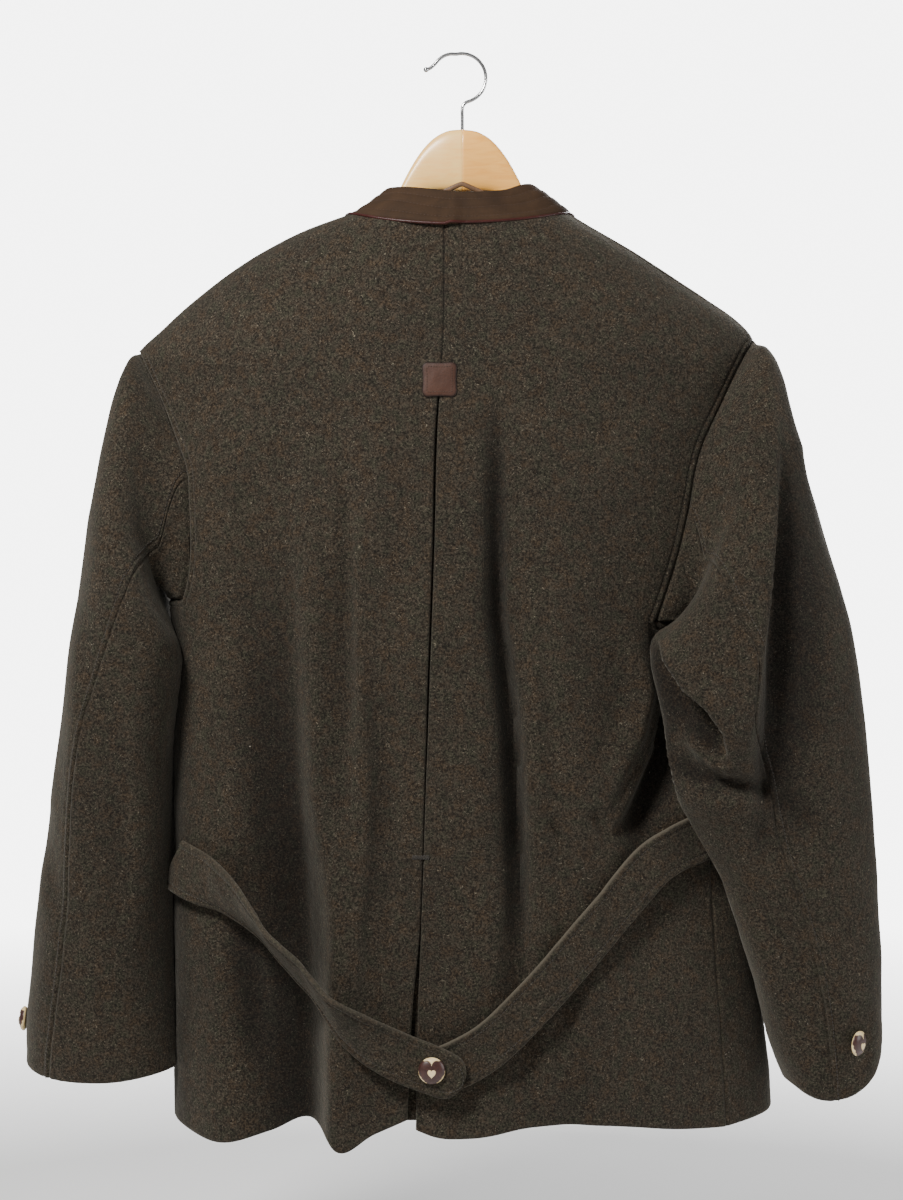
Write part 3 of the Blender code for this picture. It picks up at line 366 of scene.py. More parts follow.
def panel(side, face, centre_angle, hem, under):
    """Angles, heights and lift by seams over a body panel, from its middle edge to its side."""
    pit = side.pit_row
    table = []
    for row, level in enumerate(side.levels):
        corner = side.angle(side.corner(face, row))
        start = centre_angle(np.array([level]))[0]
        share = np.linspace(0, 1, LINE_POINTS)
        angle, z = start + (corner - start) * share, np.full(LINE_POINTS, level)
        if row < pit:
            fade = 1 - smooth((NECK_SIDE_Z - level) / NECK_BLEND)
            x = body(angle, z, folded=False)[..., 0]
            z = z + np.minimum(0, neck_level(angle) - neck_level(corner)) * fade
            refit = np.where(np.sin(angle) >= 0, 1, -1) * angle_at(x, z)
            angle = refit + np.round((angle - refit) / math.tau) * math.tau
        strips = [(angle, z, PLAIN_STEPS, BETWEEN)]
        if under:
            turn = side.corner(face, row)
            turn = turn + (side.seam[max(row, pit)] - turn) * share
            strips.append((side.angle(turn), np.full(LINE_POINTS, level), PLAIN_STEPS[:1], under))
        cells = []
        for angle, z, steps, inside in strips:
            line = body(angle, z, folded=False)
            z = z + smooth((HEM_Z + HEM_BLEND - z) / HEM_BLEND) * (hem(line[..., 0]) - HEM_Z)
            line[..., 2] = z
            run = np.append(0, np.cumsum(np.linalg.norm(np.diff(line, axis=0), axis=-1)))
            slant = 1.0
            if row < pit:
                turn = side.angle(side.corner(face, row + 1))
                below = body(turn, side.levels[row + 1], folded=False)
                slant = np.linalg.norm(np.cross(unit(line[-1] - line[-4]), unit(below - line[-1])))
            slant = max(0.45, slant)
            place = spread(max(run[-1], 0.01), steps, SEAM_STEPS / slant, inside)
            to_end = (run[-1] - place) * slant
            cells.append((np.interp(place, run, angle), np.interp(place, run, z), place, to_end))
        angle, z = (np.concatenate([c[k][min(n, 1) :] for n, c in enumerate(cells)]) for k in (0, 1))
        to_middle, to_outer = cells[0][2], cells[0][3]
        aside = cells[1][3][1:] if under else np.zeros(0)
        width = cells[1][3][0] if under else 0.0
        drop = side.levels[pit] - level
        extra = len(aside)
        to_armhole = np.hypot(to_outer, drop) if row > pit else to_outer
        to_armhole = np.append(to_armhole, np.full(extra, max(drop, 0)))
        to_side = np.append(to_outer + width, aside) if row >= pit else np.full(len(angle), FAR)
        if row < side.top_row:
            to_side = np.append(to_outer, np.full(extra, FAR))
            to_armhole = np.full(len(angle), FAR)
        to_middle = np.append(to_middle, np.full(extra, FAR))
        table.append((angle, z, to_middle, to_armhole, to_side))
    angles, heights, to_middle, to_armhole, to_side = (np.array([t[k] for t in table]) for k in range(5))
    to_hem = (side.levels - HEM_Z)[:, None]
    detail = sewn_edge(to_armhole) + sewn_edge(to_side, False) + turned_edge(to_hem)
    return angles, heights, detail, to_middle


def put(name, data):
    """A new object in the scene."""
    obj = bpy.data.objects.new(name, data)
    bpy.context.scene.collection.objects.link(obj)
    return obj


def solid(name, points, faces, finish, sharp=60):
    """A new object from points in millimetres."""
    mesh = bpy.data.meshes.new(name)
    mesh.from_pydata((points * MM).tolist(), [], faces)
    mesh.validate()
    mesh.shade_smooth()
    mesh.set_sharp_from_angle(angle=math.radians(sharp))
    mesh.materials.append(finish)
    return put(name, mesh)


def wall(name, outer, normals, thick, finish, keep=None, sharp=60):
    """A closed wall under a grid of points; keep says which cells of the grid are cloth."""
    rows, columns = outer.shape[:2]
    number = np.arange(rows * columns).reshape(rows, columns)
    keep = np.ones((rows - 1, columns - 1), bool) if keep is None else keep
    corners = number[:-1, :-1], number[:-1, 1:], number[1:, 1:], number[1:, :-1]
    quads = np.stack(corners, axis=-1)[keep]
    top, out = outer.reshape(-1, 3), normals.reshape(-1, 3)
    across = np.cross(top[quads[:, 2]] - top[quads[:, 0]], top[quads[:, 3]] - top[quads[:, 1]])
    if np.sum(across * out[quads[:, 0]]) < 0:
        quads = quads[:, ::-1]
    below = rows * columns
    a, b = quads.reshape(-1), np.roll(quads, -1, axis=1).reshape(-1)
    free = ~np.isin(a * below + b, b * below + a)
    a, b = a[free], b[free]
    rims = np.stack([b, a, a + below, b + below], axis=-1)
    faces = np.concatenate([quads, quads[:, ::-1] + below, rims])
    thick = np.broadcast_to(thick, (rows, columns)).reshape(-1, 1)
    points = np.concatenate([top, top - thick * out])
    used, place = np.unique(faces, return_inverse=True)
    return solid(name, points[used], place.reshape(faces.shape).tolist(), finish, sharp)


def closed_rings(name, points, finish, sharp, facing=1):
    """A closed surface through rings of points, capped at both ends; facing -1 turns it about."""
    number = np.arange(points.shape[0] * points.shape[1]).reshape(points.shape[:2])
    after = np.roll(number, -1, axis=1)
    quads = np.stack([number[:-1], after[:-1], after[1:], number[1:]], axis=-1)
    quads = quads.reshape(-1, 4)[:, ::facing].tolist()
    caps = [number[0][::-facing].tolist(), number[-1][::facing].tolist()]
    return solid(name, points.reshape(-1, 3), quads + caps, finish, sharp)


def finished(obj, node=None):
    """Rides with the jacket; it may stand for a solid, which is then hidden."""
    if node:
        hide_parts(node)
    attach(obj, "root")


def cloth(obj, node):
    """Stands for its solid and hangs with the jacket."""
    finished(obj, node)


def socket_values(node, values):
    """Plain input values; an underscore in a key stands for a space in the input's name."""
    for key, value in values.items():
        node.inputs[key.replace("_", " ")].default_value = value


def add_node(tree, kind, links=None, settings=None, **values):
    """A node with its settings, its plain input values and the outputs linked into it."""
    node = tree.nodes.new(kind)
    for key, value in (settings or {}).items():
        setattr(node, key, value)
    socket_values(node, values)
    for key, source in (links or {}).items():
        tree.links.new(source, node.inputs[key])
    return node


def ramp(tree, source, *stops, smooth_steps=False):
    """A colour ramp from (place, colour) stops."""
    node = add_node(tree, "ShaderNodeValToRGB", {"Fac": source})
    band = node.color_ramp
    band.interpolation = "EASE" if smooth_steps else "LINEAR"
    while len(band.elements) < len(stops):
        band.elements.new(1.0)
    for element, (place, colour) in zip(band.elements, stops):
        element.position = place
        element.color = (*colour, 1) if len(colour) == 3 else (*colour * 3, 1)
    return node.outputs["Color"]


def mixed(tree, factor, first, second, blend="MIX"):
    """Two colours mixed; each is an output or a plain colour, and factor an output or a number."""
    node = add_node(tree, "ShaderNodeMix", settings={"data_type": "RGBA", "blend_type": blend})
    for socket, value in ((0, factor), (6, first), (7, second)):
        if isinstance(value, bpy.types.NodeSocket):
            tree.links.new(value, node.inputs[socket])
        else:
            node.inputs[socket].default_value = value if socket == 0 else (*value, 1)
    return node.outputs[2]


def new_material(name, **values):
    """A material, its nodes, its shader and the place on the object that its patterns read."""
    made = bpy.data.materials.new(name)
    made.use_nodes = True
    shader = made.node_tree.nodes["Principled BSDF"]
    socket_values(shader, values)
    where = add_node(made.node_tree, "ShaderNodeTexCoord").outputs["Object"]
    return made, made.node_tree, shader, where


def noise(tree, where, scale, detail=2.0, rough=0.5, distortion=0.0):
    node = add_node(tree, "ShaderNodeTexNoise", {"Vector": where}, Scale=scale, Detail=detail,
                    Roughness=rough, Distortion=distortion)
    return node.outputs["Fac"]


def painted(tree, name):
    """A value that is painted on the mesh."""
    return add_node(tree, "ShaderNodeAttribute", settings={"attribute_name": name}).outputs["Fac"]


def raised(tree, shader, *layers):
    """Bumps of (height, strength, distance), laid one on another."""
    links = {}
    for height, strength, distance in layers:
        links["Height"] = height
        bump = add_node(tree, "ShaderNodeBump", links, Strength=strength, Distance=distance)
        links["Normal"] = bump.outputs["Normal"]
    tree.links.new(links["Normal"], shader.inputs["Normal"])


WOOL_DARK, WOOL_MID, WOOL_LIGHT = (0.0066, 0.005, 0.0033), (0.0218, 0.0174, 0.0123), (0.05, 0.0405, 0.0285)
# The last of these is the colour of a painted highlight along the belts' upper edges
FLECK_WOOL, LINT_WOOL, EDGE_HIGHLIGHT_WOOL = (0.14, 0.12, 0.085), (0.26, 0.235, 0.19), (0.085, 0.073, 0.054)
# How far the painted shade in folds, creases and seams darkens the wool
HOLLOW_SHADE_SHARE = (0.42, 0.41, 0.42)
RED_TINT, PLAIN_TINT, GREEN_TINT = (1.12, 0.98, 0.86), (1.0, 1.0, 1.0), (0.88, 1.02, 0.95)


def loden_material():
    """Milled wool melange: brown and olive fibres, felted over, with light flecks and lint."""
    made, tree, shader, where = new_material(
        "loden", Roughness=0.93, Sheen_Weight=0.13, Sheen_Roughness=0.5, Sheen_Tint=(0.74, 0.7, 0.6, 1),
        Specular_IOR_Level=0.18)
    fine = noise(tree, where, 620.0, 3.0, 0.6, 0.4)
    broad = noise(tree, where, 14.0, 2.0)
    patchy = noise(tree, where, 110.0, 3.0, 0.55)
    wool = ramp(tree, fine, (0.36, WOOL_DARK), (0.5, WOOL_MID), (0.66, WOOL_LIGHT))
    tint = ramp(tree, patchy, (0.35, RED_TINT), (0.5, PLAIN_TINT), (0.66, GREEN_TINT))
    wool = mixed(tree, 1.0, wool, tint, "MULTIPLY")
    cloudy = ramp(tree, broad, (0.3, (0.9, 0.9, 0.9)), (0.7, (1.1, 1.08, 1.05)))
    wool = mixed(tree, 1.0, wool, cloudy, "MULTIPLY")
    fleck = ramp(tree, noise(tree, where, 430.0, 2.0, 0.5, 2.6), (0.655, (0.0,)), (0.715, (1.0,)))
    wool = mixed(tree, fleck, wool, FLECK_WOOL)
    # Painted highlight along the belts' upper edges
    wool = mixed(tree, painted(tree, "edge_highlight"), wool, EDGE_HIGHLIGHT_WOOL)
    # Painted shade: the wool darkens where shade is painted into folds, creases and seams
    in_shade = mixed(tree, 1.0, wool, HOLLOW_SHADE_SHARE, "MULTIPLY")
    wool = mixed(tree, painted(tree, "hollow"), wool, in_shade)
    lint = ramp(tree, noise(tree, where, 190.0, 3.0, 0.6, 5.0), (0.715, (0.0,)), (0.755, (1.0,)))
    wool = mixed(tree, lint, wool, LINT_WOOL)
    tree.links.new(wool, shader.inputs["Base Color"])
    raised(tree, shader, (fine, 0.55, 0.0009), (patchy, 0.4, 0.0022))
    return made


loden = loden_material()

# The fronts' folds and creases, much like the back's
FRONT_FOLDS = rows(
    Fold,
    (150, -330, 128, -1150, 0, -10, 40, 30), (96, -420, 90, -1160, 0, 5, 26, 30),
    (-120, -360, -140, -1180, 0, -11, 34, 40), (-82, -470, -84, -1100, 0, 5, 26, 26),
    (205, -560, 196, -1180, 0, 5, 30, 34),
)

FRONT_CREASES = creases(
    (-9, 26, 14, (176, -470), (168, -540), (158, -620), (152, -700), (150, -790)),
    (6, 14, 30, (140, -520), (136, -620), (130, -720), (128, -840)),
    (-10, 14, 30, (-186, -480), (-172, -540), (-150, -610), (-138, -690)),
    (-7, 18, 12, (-96, -620), (-104, -700), (-112, -790), (-116, -880)),
    (5, 12, 26, (-70, -560), (-78, -680), (-84, -800), (-86, -930)),
    (-6, 12, 20, (62, -640), (70, -740), (74, -840), (76, -940)),
)

# Columns of cloth between the armhole's corner and the side seam
UNDER_LEFT_BACK, UNDER_LEFT_FRONT, UNDER_RIGHT_FRONT = 3, 4, 24
Panel = namedtuple("Panel", "obj side outer angles heights")
left = Side(1, ARMHOLE_LEFT, SEAMS_LEFT)
right = Side(-1, ARMHOLE_RIGHT, SEAMS_RIGHT)
MAIN_COLUMNS = len(PLAIN_STEPS) + BETWEEN + len(SEAM_STEPS)


def hem_wall(side, columns):
    """The wall's thickness: a hem allowance is turned up inside at the bottom."""
    turned = smooth((HEM_Z + HEM_ALLOWANCE - side.levels) / 5)[:, None]
    return np.repeat(WALL + (HEM_THICK - WALL) * turned, columns, axis=1)


def above_pit(side, shape, under):
    """Which cells are cloth: the block under the armhole starts at its lowest level."""
    keep = np.ones((shape[0] - 1, shape[1] - 1), bool)
    if under:
        keep[: side.pit_row, MAIN_COLUMNS - 1 :] = False
    return keep


def back_panel(name, side, gap_column, hem, under):
    """One half of the back; its middle edge is sewn above the patch and turns under below it."""
    gap = track(CENTRE_BACK, "z", gap_column)

    def centre_angle(z):
        pleat = z < PLEAT_TOP_Z - PLEAT_START / 2
        return angle_at(centre_x(z) + side.sign * (gap(z) + PLEAT_BEND * pleat), z)

    angles, heights, detail, to_middle = panel(side, "back", centre_angle, hem, under)
    sewn = (side.levels > PLEAT_TOP_Z - PLEAT_START / 2)[:, None]
    detail = detail + sewn_edge(to_middle, False) * sewn
    normals = body_normal(angles, heights)
    outer = body(angles, heights) + detail[..., None] * normals

    edge, edge_normal = outer[:, :1], normals[:, :1]
    outward = unit(outer[:, :1] - outer[:, 1:2])
    bends = np.radians(PLEAT_TURNS)[None, :, None]
    bend_normal = np.cos(bends) * edge_normal + np.sin(bends) * outward
    bend = edge - PLEAT_BEND * edge_normal + PLEAT_BEND * bend_normal
    reach = np.linspace(0, 1, 8)[None, :] * PLEAT_DEPTH
    x_edge = body(angles[:, :1], heights[:, :1], folded=False)[..., 0]
    under_angles = angle_at(x_edge + side.sign * reach, heights[:, :1])
    under_normal = body_normal(under_angles, heights[:, :1])
    under_part = body(under_angles, heights[:, :1]) - 2 * PLEAT_BEND * under_normal
    strip = np.concatenate([under_part[:, ::-1], bend[:, ::-1]], axis=1)
    strip_normal = np.concatenate([-under_normal[:, ::-1], bend_normal[:, ::-1]], axis=1)

    turned = strip.shape[1]
    keep = above_pit(side, outer.shape, under)
    thick = hem_wall(side, turned + outer.shape[1])
    thick[:, :turned] = WALL
    open_part = np.repeat(~sewn[:-1], turned, axis=1)
    whole = np.concatenate([strip, outer], axis=1)
    facing = np.concatenate([strip_normal, normals], axis=1)
    obj = wall(name, whole, facing, thick, loden, np.concatenate([open_part, keep], axis=1))
    return Panel(obj, side, outer, angles, heights)


back_left = back_panel("back_left_cloth", left, "left_gap", hem_back_left, UNDER_LEFT_BACK)
back_right = back_panel("back_right_cloth", right, "right_gap", hem_back_right, 0)


# Painted shade in the cloth's folds, creases and middle seam, full at this depth
HOLLOW_DEEP = 16.0
FOLD_SHADE_SHARE = 0.6  # a wide fold gets less painted shade than a crease
FACING_BACK = 0.3
SEAM_SHADE = 1.0
# Beside the left side seam the sleeve's shadow falls on the cloth, more so lower down; it is painted in as
# shade
SLEEVE_SHADOW_X, SLEEVE_SHADOW_REACH, SLEEVE_SHADOW_Z, SLEEVE_SHADOW_FADE = 220.0, 26.0, -430.0, 90.0


def paint(obj, name, values):
    """A value painted at each point of a mesh."""
    layer = obj.data.attributes.new(name, "FLOAT", "POINT")
    layer.data.foreach_set("value", np.asarray(values, np.float32))


def paint_hollow_shade(obj, lines, folds=(), seam=None, sleeve_shadow=False):
    """Paint shade where the cloth lies in a fold, a crease or the seam, and where it lies in the sleeve's
    shadow; the wool is darker there.
    """
    mesh = obj.data
    places, normals = np.empty(len(mesh.vertices) * 3), np.empty(len(mesh.vertices) * 3)
    mesh.vertices.foreach_get("co", places)
    mesh.vertices.foreach_get("normal", normals)
    x, z = places[0::3] / MM, places[2::3] / MM
    lift = crease_lift(x, z, lines) + FOLD_SHADE_SHARE * fold_height(x, z, folds)
    depth = smooth(-lift / HOLLOW_DEEP) * smooth(normals[1::3] / FACING_BACK)
    # The sleeve's shadow, painted as shade beside the left side seam
    if sleeve_shadow:
        sleeve_shade = smooth((x - SLEEVE_SHADOW_X) / SLEEVE_SHADOW_REACH) * smooth((SLEEVE_SHADOW_Z - z) / SLEEVE_SHADOW_FADE)
        depth = np.maximum(depth, sleeve_shade)
    if seam:
        shade = np.exp(-(((x - seam(z)) / SEAM_SHADE) ** 2)) * (z > PLEAT_TOP_Z)
        depth = np.maximum(depth, shade)
    paint(obj, "hollow", depth)


# Painted shade on the back panels; on the left also the sleeve's painted shadow
paint_hollow_shade(back_left.obj, BACK_CREASES, BACK_FOLDS, centre_x, True)
paint_hollow_shade(back_right.obj, BACK_CREASES, BACK_FOLDS, centre_x)
cloth(back_left.obj, "back_left")
cloth(back_right.obj, "back_right")

# ---------------------------------------------------------------------------------------------
# The pleat's underlay: a strip of the same loden that joins the two turned edges behind them.
# A bar of thread holds the pleat shut at the waist; it is made with the other stitching.
# ---------------------------------------------------------------------------------------------

UNDERLAY_DROP = 6.8

share = np.linspace(-1, 1, 19)[None, :]
level = np.linspace(PLEAT_TOP_Z - PLEAT_START, HEM_Z + 12, 150)[:, None]
underlay_angles = angle_at(centre_x(level) + share * PLEAT_DEPTH, level)
underlay_heights = np.broadcast_to(level, underlay_angles.shape)
underlay_normals = body_normal(underlay_angles, underlay_heights)
underlay_outer = body(underlay_angles, underlay_heights) - UNDERLAY_DROP * underlay_normals
underlay = wall("pleat_underlay_cloth", underlay_outer, underlay_normals, WALL, loden)
cloth(underlay, "pleat_underlay")

# ---------------------------------------------------------------------------------------------
# The fronts: plain loden, the left one lapped over the right one and buttoned.
# ---------------------------------------------------------------------------------------------

LAP = 14.0
LAP_LIFT = 3.0
LAP_BLEND = 60.0
HEM_FRONT = rows(
    Hem,
    (250, -912), (170, -917), (80, -909), (0, -918), (-80, -912), (-180, -917), (-275, -905),
)
hem_front = track(HEM_FRONT, "x", "z")


def lap_lift(x):
    return LAP_LIFT * (1 - smooth((x - LAP) / LAP_BLEND))


def front_panel(name, side, under):
    def centre_angle(z):
        c = (LAP / (half_right(z) if side.sign > 0 else half_left(z))) ** (square(z) / 2)
        return 1.5 * math.pi - side.sign * np.arcsin(c) - (math.tau if side.sign > 0 else 0)

    angles, heights, detail, to_middle = panel(side, "front", centre_angle, hem_front, under)
    x = body(angles, heights, folded=False)[..., 0]
    lift = lap_lift(x) * (np.sin(angles) < 0) * (side.sign > 0)
    normals = body_normal(angles, heights, lift)
    detail = detail + sewn_edge(to_middle)
    outer = body(angles, heights, lift) + detail[..., None] * normals
    thick = hem_wall(side, outer.shape[1])
    obj = wall(name, outer, normals, thick, loden, above_pit(side, outer.shape, under))
    return Panel(obj, side, outer, angles, heights)


front_left = front_panel("front_left_cloth", left, UNDER_LEFT_FRONT)
front_right = front_panel("front_right_cloth", right, UNDER_RIGHT_FRONT)
cloth(front_left.obj, "front_left")
cloth(front_right.obj, "front_right")

# ---------------------------------------------------------------------------------------------
# The sleeves: a top and an under piece each, sewn together behind and before and set into the
# armhole. The left one hangs nearly straight; the right one swings back and breaks at the elbow.
# ---------------------------------------------------------------------------------------------

Section = namedtuple("Section", "outer_x outer_z inner_x inner_z y yaw back front clear")
SLEEVE_LEFT = rows(
    Section,
    (276, -253, 246, -468, -8, 0, 48, 48, 0), (284, -261, 256, -459, -8, 0, 54, 52, 3),
    (295, -290, 257, -461, -8, 0, 63, 60, 5), (304, -330, 252, -473, -7, 0, 71, 68, 5),
    (312, -372, 243, -492, -5, 0, 77, 74, 5), (319, -418, 234, -520, -2, 0, 80, 78, 1.5),
    (328, -480, 240, -560, -6, 0, 80, 80, 1), (340, -560, 246, -610, -10, 0, 78, 78, 1),
    (351, -640, 246, -668, -13, 0, 75, 74, 1), (360, -715, 245, -730, -15, 3, 72, 70, 1),
    (368, -790, 242, -796, -17, 6, 68, 66, 1), (373, -845, 238, -850, -18, 8, 64, 62, 1),
    (372, -866, 236, -866, -19, 8, 62, 60, 1),
)
SLEEVE_RIGHT = rows(
    Section,
    (-255, -243, -212, -487, 4, 12, 58, 56, 0), (-263, -251, -196, -485, 14, 0, 58, 56, 3),
    (-272, -275, -180, -486, 24, -10, 58, 50, 4), (-279, -313, -168, -491, 33, -18, 58, 42, 4),
    (-290, -350, -162, -500, 39, -22, 60, 36, 4), (-306, -405, -160, -516, 43, -20, 62, 32, 5),
    (-321, -462, -164, -541, 44, -16, 64, 30, 6), (-335, -530, -172, -575, 44, -16, 62, 30, 9),
    (-345, -600, -172, -613, 36, -14, 56, 32, 13), (-352, -665, -188, -658, 26, -10, 53, 34, 14),
    (-357, -730, -220, -712, 18, -6, 52, 36, 12), (-361, -790, -246, -782, 14, 0, 50, 38, 10),
    (-362, -840, -264, -840, 8, 0, 48, 40, 8), (-359, -862, -280, -878, 6, 0, 48, 40, 8),
)
SLEEVE_SQUARE = 2.3
SLEEVE_EVEN = 4.0
SLEEVE_JOIN = 1.6
# Where the back seam of each sleeve runs
SeamAt = namedtuple("SeamAt", "z x")
SLEEVE_SEAM_LEFT = rows(
    SeamAt,
    (-364, 232), (-429, 262), (-490, 286), (-551, 307), (-621, 321), (-708, 328), (-769, 334),
    (-830, 343), (-880, 349),
)
SLEEVE_SEAM_RIGHT = rows(
    SeamAt,
    (-395, -193), (-440, -211), (-478, -228), (-505, -241), (-579, -243), (-624, -257),
    (-656, -263), (-730, -288), (-796, -304), (-880, -316),
)
CUFF_ROUND_LEFT, CUFF_ROUND_RIGHT = 10.0, 17.0
CREASES_RIGHT = creases(
    (-24, 26, 8, (-160, -496), (-166, -522), (-180, -548), (-194, -562), (-208, -578), (-218, -606)),
    (11, 7, 30, (-158, -470), (-172, -512), (-190, -538), (-206, -554), (-220, -576), (-226, -604)),
    (-16, 22, 20, (-146, -530), (-158, -560), (-174, -588), (-206, -602)),
    (7, 34, 9, (-262, -310), (-258, -400), (-253, -450), (-244, -510), (-234, -575), (-224, -615)),
    (-21, 13, 68, (-275, -340), (-270, -420), (-265, -470), (-257, -530), (-249, -590), (-250, -690)),
    (-15, 10, 14, (-166, -606), (-186, -611), (-206, -616), (-228, -620), (-258, -624)),
    (9, 12, 12, (-168, -588), (-188, -588), (-206, -598), (-228, -611)),
    (6, 26, 10, (-176, -628), (-200, -634), (-228, -638), (-262, -640)),
    (-5, 16, 16, (-262, -628), (-282, -640), (-300, -668)),
    (4, 18, 16, (-226, -700), (-262, -780), (-288, -860)),
    (-4, 20, 20, (-250, -700), (-292, -790), (-312, -860)),
)
CREASES_LEFT = creases(
    (5, 22, 14, (322, -470), (318, -560), (315, -650), (316, -730)),
    (-5, 18, 18, (290, -520), (284, -620), (284, -700), (290, -790)),
    (-4, 14, 20, (352, -640), (344, -700), (336, -740)),
)
STATION_LENGTH = 48.0
SLEEVE_ROWS = 130


def by_index(rows, column):
    """A smooth run of values down a table whose rows are evenly spaced stations."""
    Station = namedtuple("Station", "at value")
    return track([Station(i, getattr(row, column)) for i, row in enumerate(rows)], "at", "value")


def clear_of_body(points, clearance):
    """Sleeve points moved out where they would come nearer to the body than the clearance."""
    x, y, z = points[..., 0], points[..., 1], points[..., 2]
    level = np.clip(z, HEM_Z, NECK_SIDE_Z)
    y_ring = y + FORWARD_BOW * (x / BOW_REACH) ** 2
    half = np.where(x >= 0, half_left(level), half_right(level)) + clearance
    deep = np.where(y_ring >= 0, deep_back(level), deep_front(level)) + clearance
    power = square(level)
    near = (np.abs(x / half) ** power + np.abs(y_ring / deep) ** power) ** (1 / power)
    grow = 1 / np.minimum(near, 1)
    x_out, y_out = x * grow, y_ring * grow
    return np.stack([x_out, y_out - FORWARD_BOW * (x_out / BOW_REACH) ** 2, z], axis=-1)


def armhole_loop(side, back_under, front_under, seam_drop):
    """The armhole's edge down the back, under the arm and up the front, and its two seams."""
    rows = range(side.top_row, side.pit_row + 1)
    z, pit, seam = side.levels, side.levels[side.pit_row], side.seam[side.pit_row]
    back = [(side.ends["back"][r], z[r]) for r in rows]
    front = [(side.ends["front"][r], z[r]) for r in rows]
    turns = list(np.linspace(back[-1][0], seam, back_under + 1)[1:]) if back_under else []
    turns += list(np.linspace(seam, front[-1][0], front_under + 1)[1:-1])
    under = [(turn, pit) for turn in turns]
    loop = np.array(back + under + front[::-1])
    run = np.append(0, np.cumsum(np.hypot(np.diff(loop[:, 0]) * 200, np.diff(loop[:, 1]))))
    first = int(np.argmax(loop[0, 1] - loop[:, 1] > seam_drop))
    last = len(loop) - 1 - first
    places = []
    stretches = (0.0, run[first], 36), (run[first], run[last], 60), (run[last], run[-1], 36)
    for low, high, steps in stretches:
        ends = SEAM_STEPS * SLEEVE_GATHER
        first_steps = ends if low > 0 else ends[:1]
        last_steps = ends if high < run[-1] else ends[:1]
        inside = np.linspace(low + first_steps[-1], high - last_steps[-1], steps + 2)[1:-1]
        places.append(np.concatenate([low + first_steps, inside, (high - last_steps)[::-1]])[:-1])
    place = np.concatenate(places)
    angles = side.angle(np.interp(place, run, loop[:, 0]))
    heights = np.interp(place, run, loop[:, 1])
    seams = [int(np.argmin(np.abs(place - run[k]))) for k in (first, last)]
    return angles, heights, seams


SEAM_DROP_LEFT, SEAM_DROP_RIGHT = 112.0, 150.0  # from the shoulder down to the sleeve's own seams
SLEEVE_GATHER = 1.15
FAN = np.radians(np.linspace(12, 168, 400))  # the turns behind the sleeve


def sleeve_grid(loop, sections, seam_path, seam_column, lines, cuff_round):
    """The outer points of a whole sleeve, from its armhole down to its cuff."""
    read = {name: by_index(sections, name) for name in Section._fields}
    cuff = len(sections) - 1
    near = SEAM_STEPS / STATION_LENGTH
    far = cuff - np.array([3.6, 2.4, 1.4, 0.7, 0.25, 0.0]) / STATION_LENGTH
    run = np.concatenate([near, np.linspace(near[-1], far[0], SLEEVE_ROWS)[1:-1], far])

    def frame_of(at):
        outer = np.array([read["outer_x"](at), 0, read["outer_z"](at)])
        inner = np.array([read["inner_x"](at), 0, read["inner_z"](at)])
        yaw = math.radians(read["yaw"](at))
        middle, axis = (outer + inner) / 2, (outer - inner) / 2
        axis[1] = -math.tan(yaw) * axis[0]
        middle[1] = read["y"](at)
        return middle, axis, np.array([math.sin(yaw), math.cos(yaw), 0.0])

    def ring(at, turn):
        middle, axis, behind = frame_of(at)
        c, s = np.cos(turn), np.sin(turn)
        power = 2 / SLEEVE_SQUARE
        swell = np.where(s >= 0, read["back"](at), read["front"](at))
        return (middle + (np.sign(c) * np.abs(c) ** power)[:, None] * axis
                + (swell * np.sign(s) * np.abs(s) ** power)[:, None] * behind)

    seam_x = track(seam_path, "z", "x")
    middle, axis, behind = frame_of(0.0)
    local_c = (loop - middle) @ axis / (axis @ axis)
    local_s = (loop - middle) @ behind
    local_s = local_s / np.where(local_s >= 0, sections[0].back, sections[0].front)
    turn = np.unwrap(np.arctan2(local_s, local_c))
    away = loop - ring(0.0, turn)
    length = np.linalg.norm(np.roll(loop, -1, axis=0) - loop, axis=-1)
    along = np.append(0, np.cumsum(length))
    even = along[:-1] / along[-1] * math.tau * np.sign(turn[-1] - turn[0])
    grid = []
    for at in run:
        here = turn + (even - turn) * smooth(at / SLEEVE_EVEN)
        behind_it = ring(at, FAN)
        miss = behind_it[:, 0] - seam_x(behind_it[:, 2])
        found = FAN[int(np.argmin(np.abs(miss)))]
        was = here[seam_column]
        goal = was + (found - was) * smooth(at / 0.9)
        shorter = (here > 0) & (here <= was)
        longer = (here > was) & (here < math.pi)
        here = np.where(shorter, here * goal / was, here)
        stretch = (math.pi - goal) / (math.pi - was)
        here = np.where(longer, math.pi - (math.pi - here) * stretch, here)
        points = ring(at, here)
        middle = frame_of(at)[0]
        facing_back = smooth(np.sin(here) / 0.4) * smooth(at / 0.8)
        lift = crease_lift(points[:, 0], points[:, 2], lines) * facing_back
        lift = lift + unevenness(here * 63 + 40, at * STATION_LENGTH) * smooth(at / 0.5)
        points = points + lift[:, None] * unit(points - middle)
        points = points + away * max(0.0, 1 - at / SLEEVE_JOIN) ** 2
        points[:, 2] -= cuff_round * (at / cuff) ** 5 * np.sin(here) ** 2
        grid.append(clear_of_body(points, read["clear"](at)))
    return np.array(grid)


def ring_normals(points):
    """Normals of a grid whose columns wrap round, pointing out of it."""
    round_it = np.roll(points, -1, axis=1) - np.roll(points, 1, axis=1)
    normals = unit(np.cross(np.gradient(points, axis=0), round_it))
    centre = points.mean(axis=1, keepdims=True)
    return normals if np.sum(normals * (points - centre)) > 0 else -normals


Sleeve = namedtuple("Sleeve", "under top outer normals stitches")


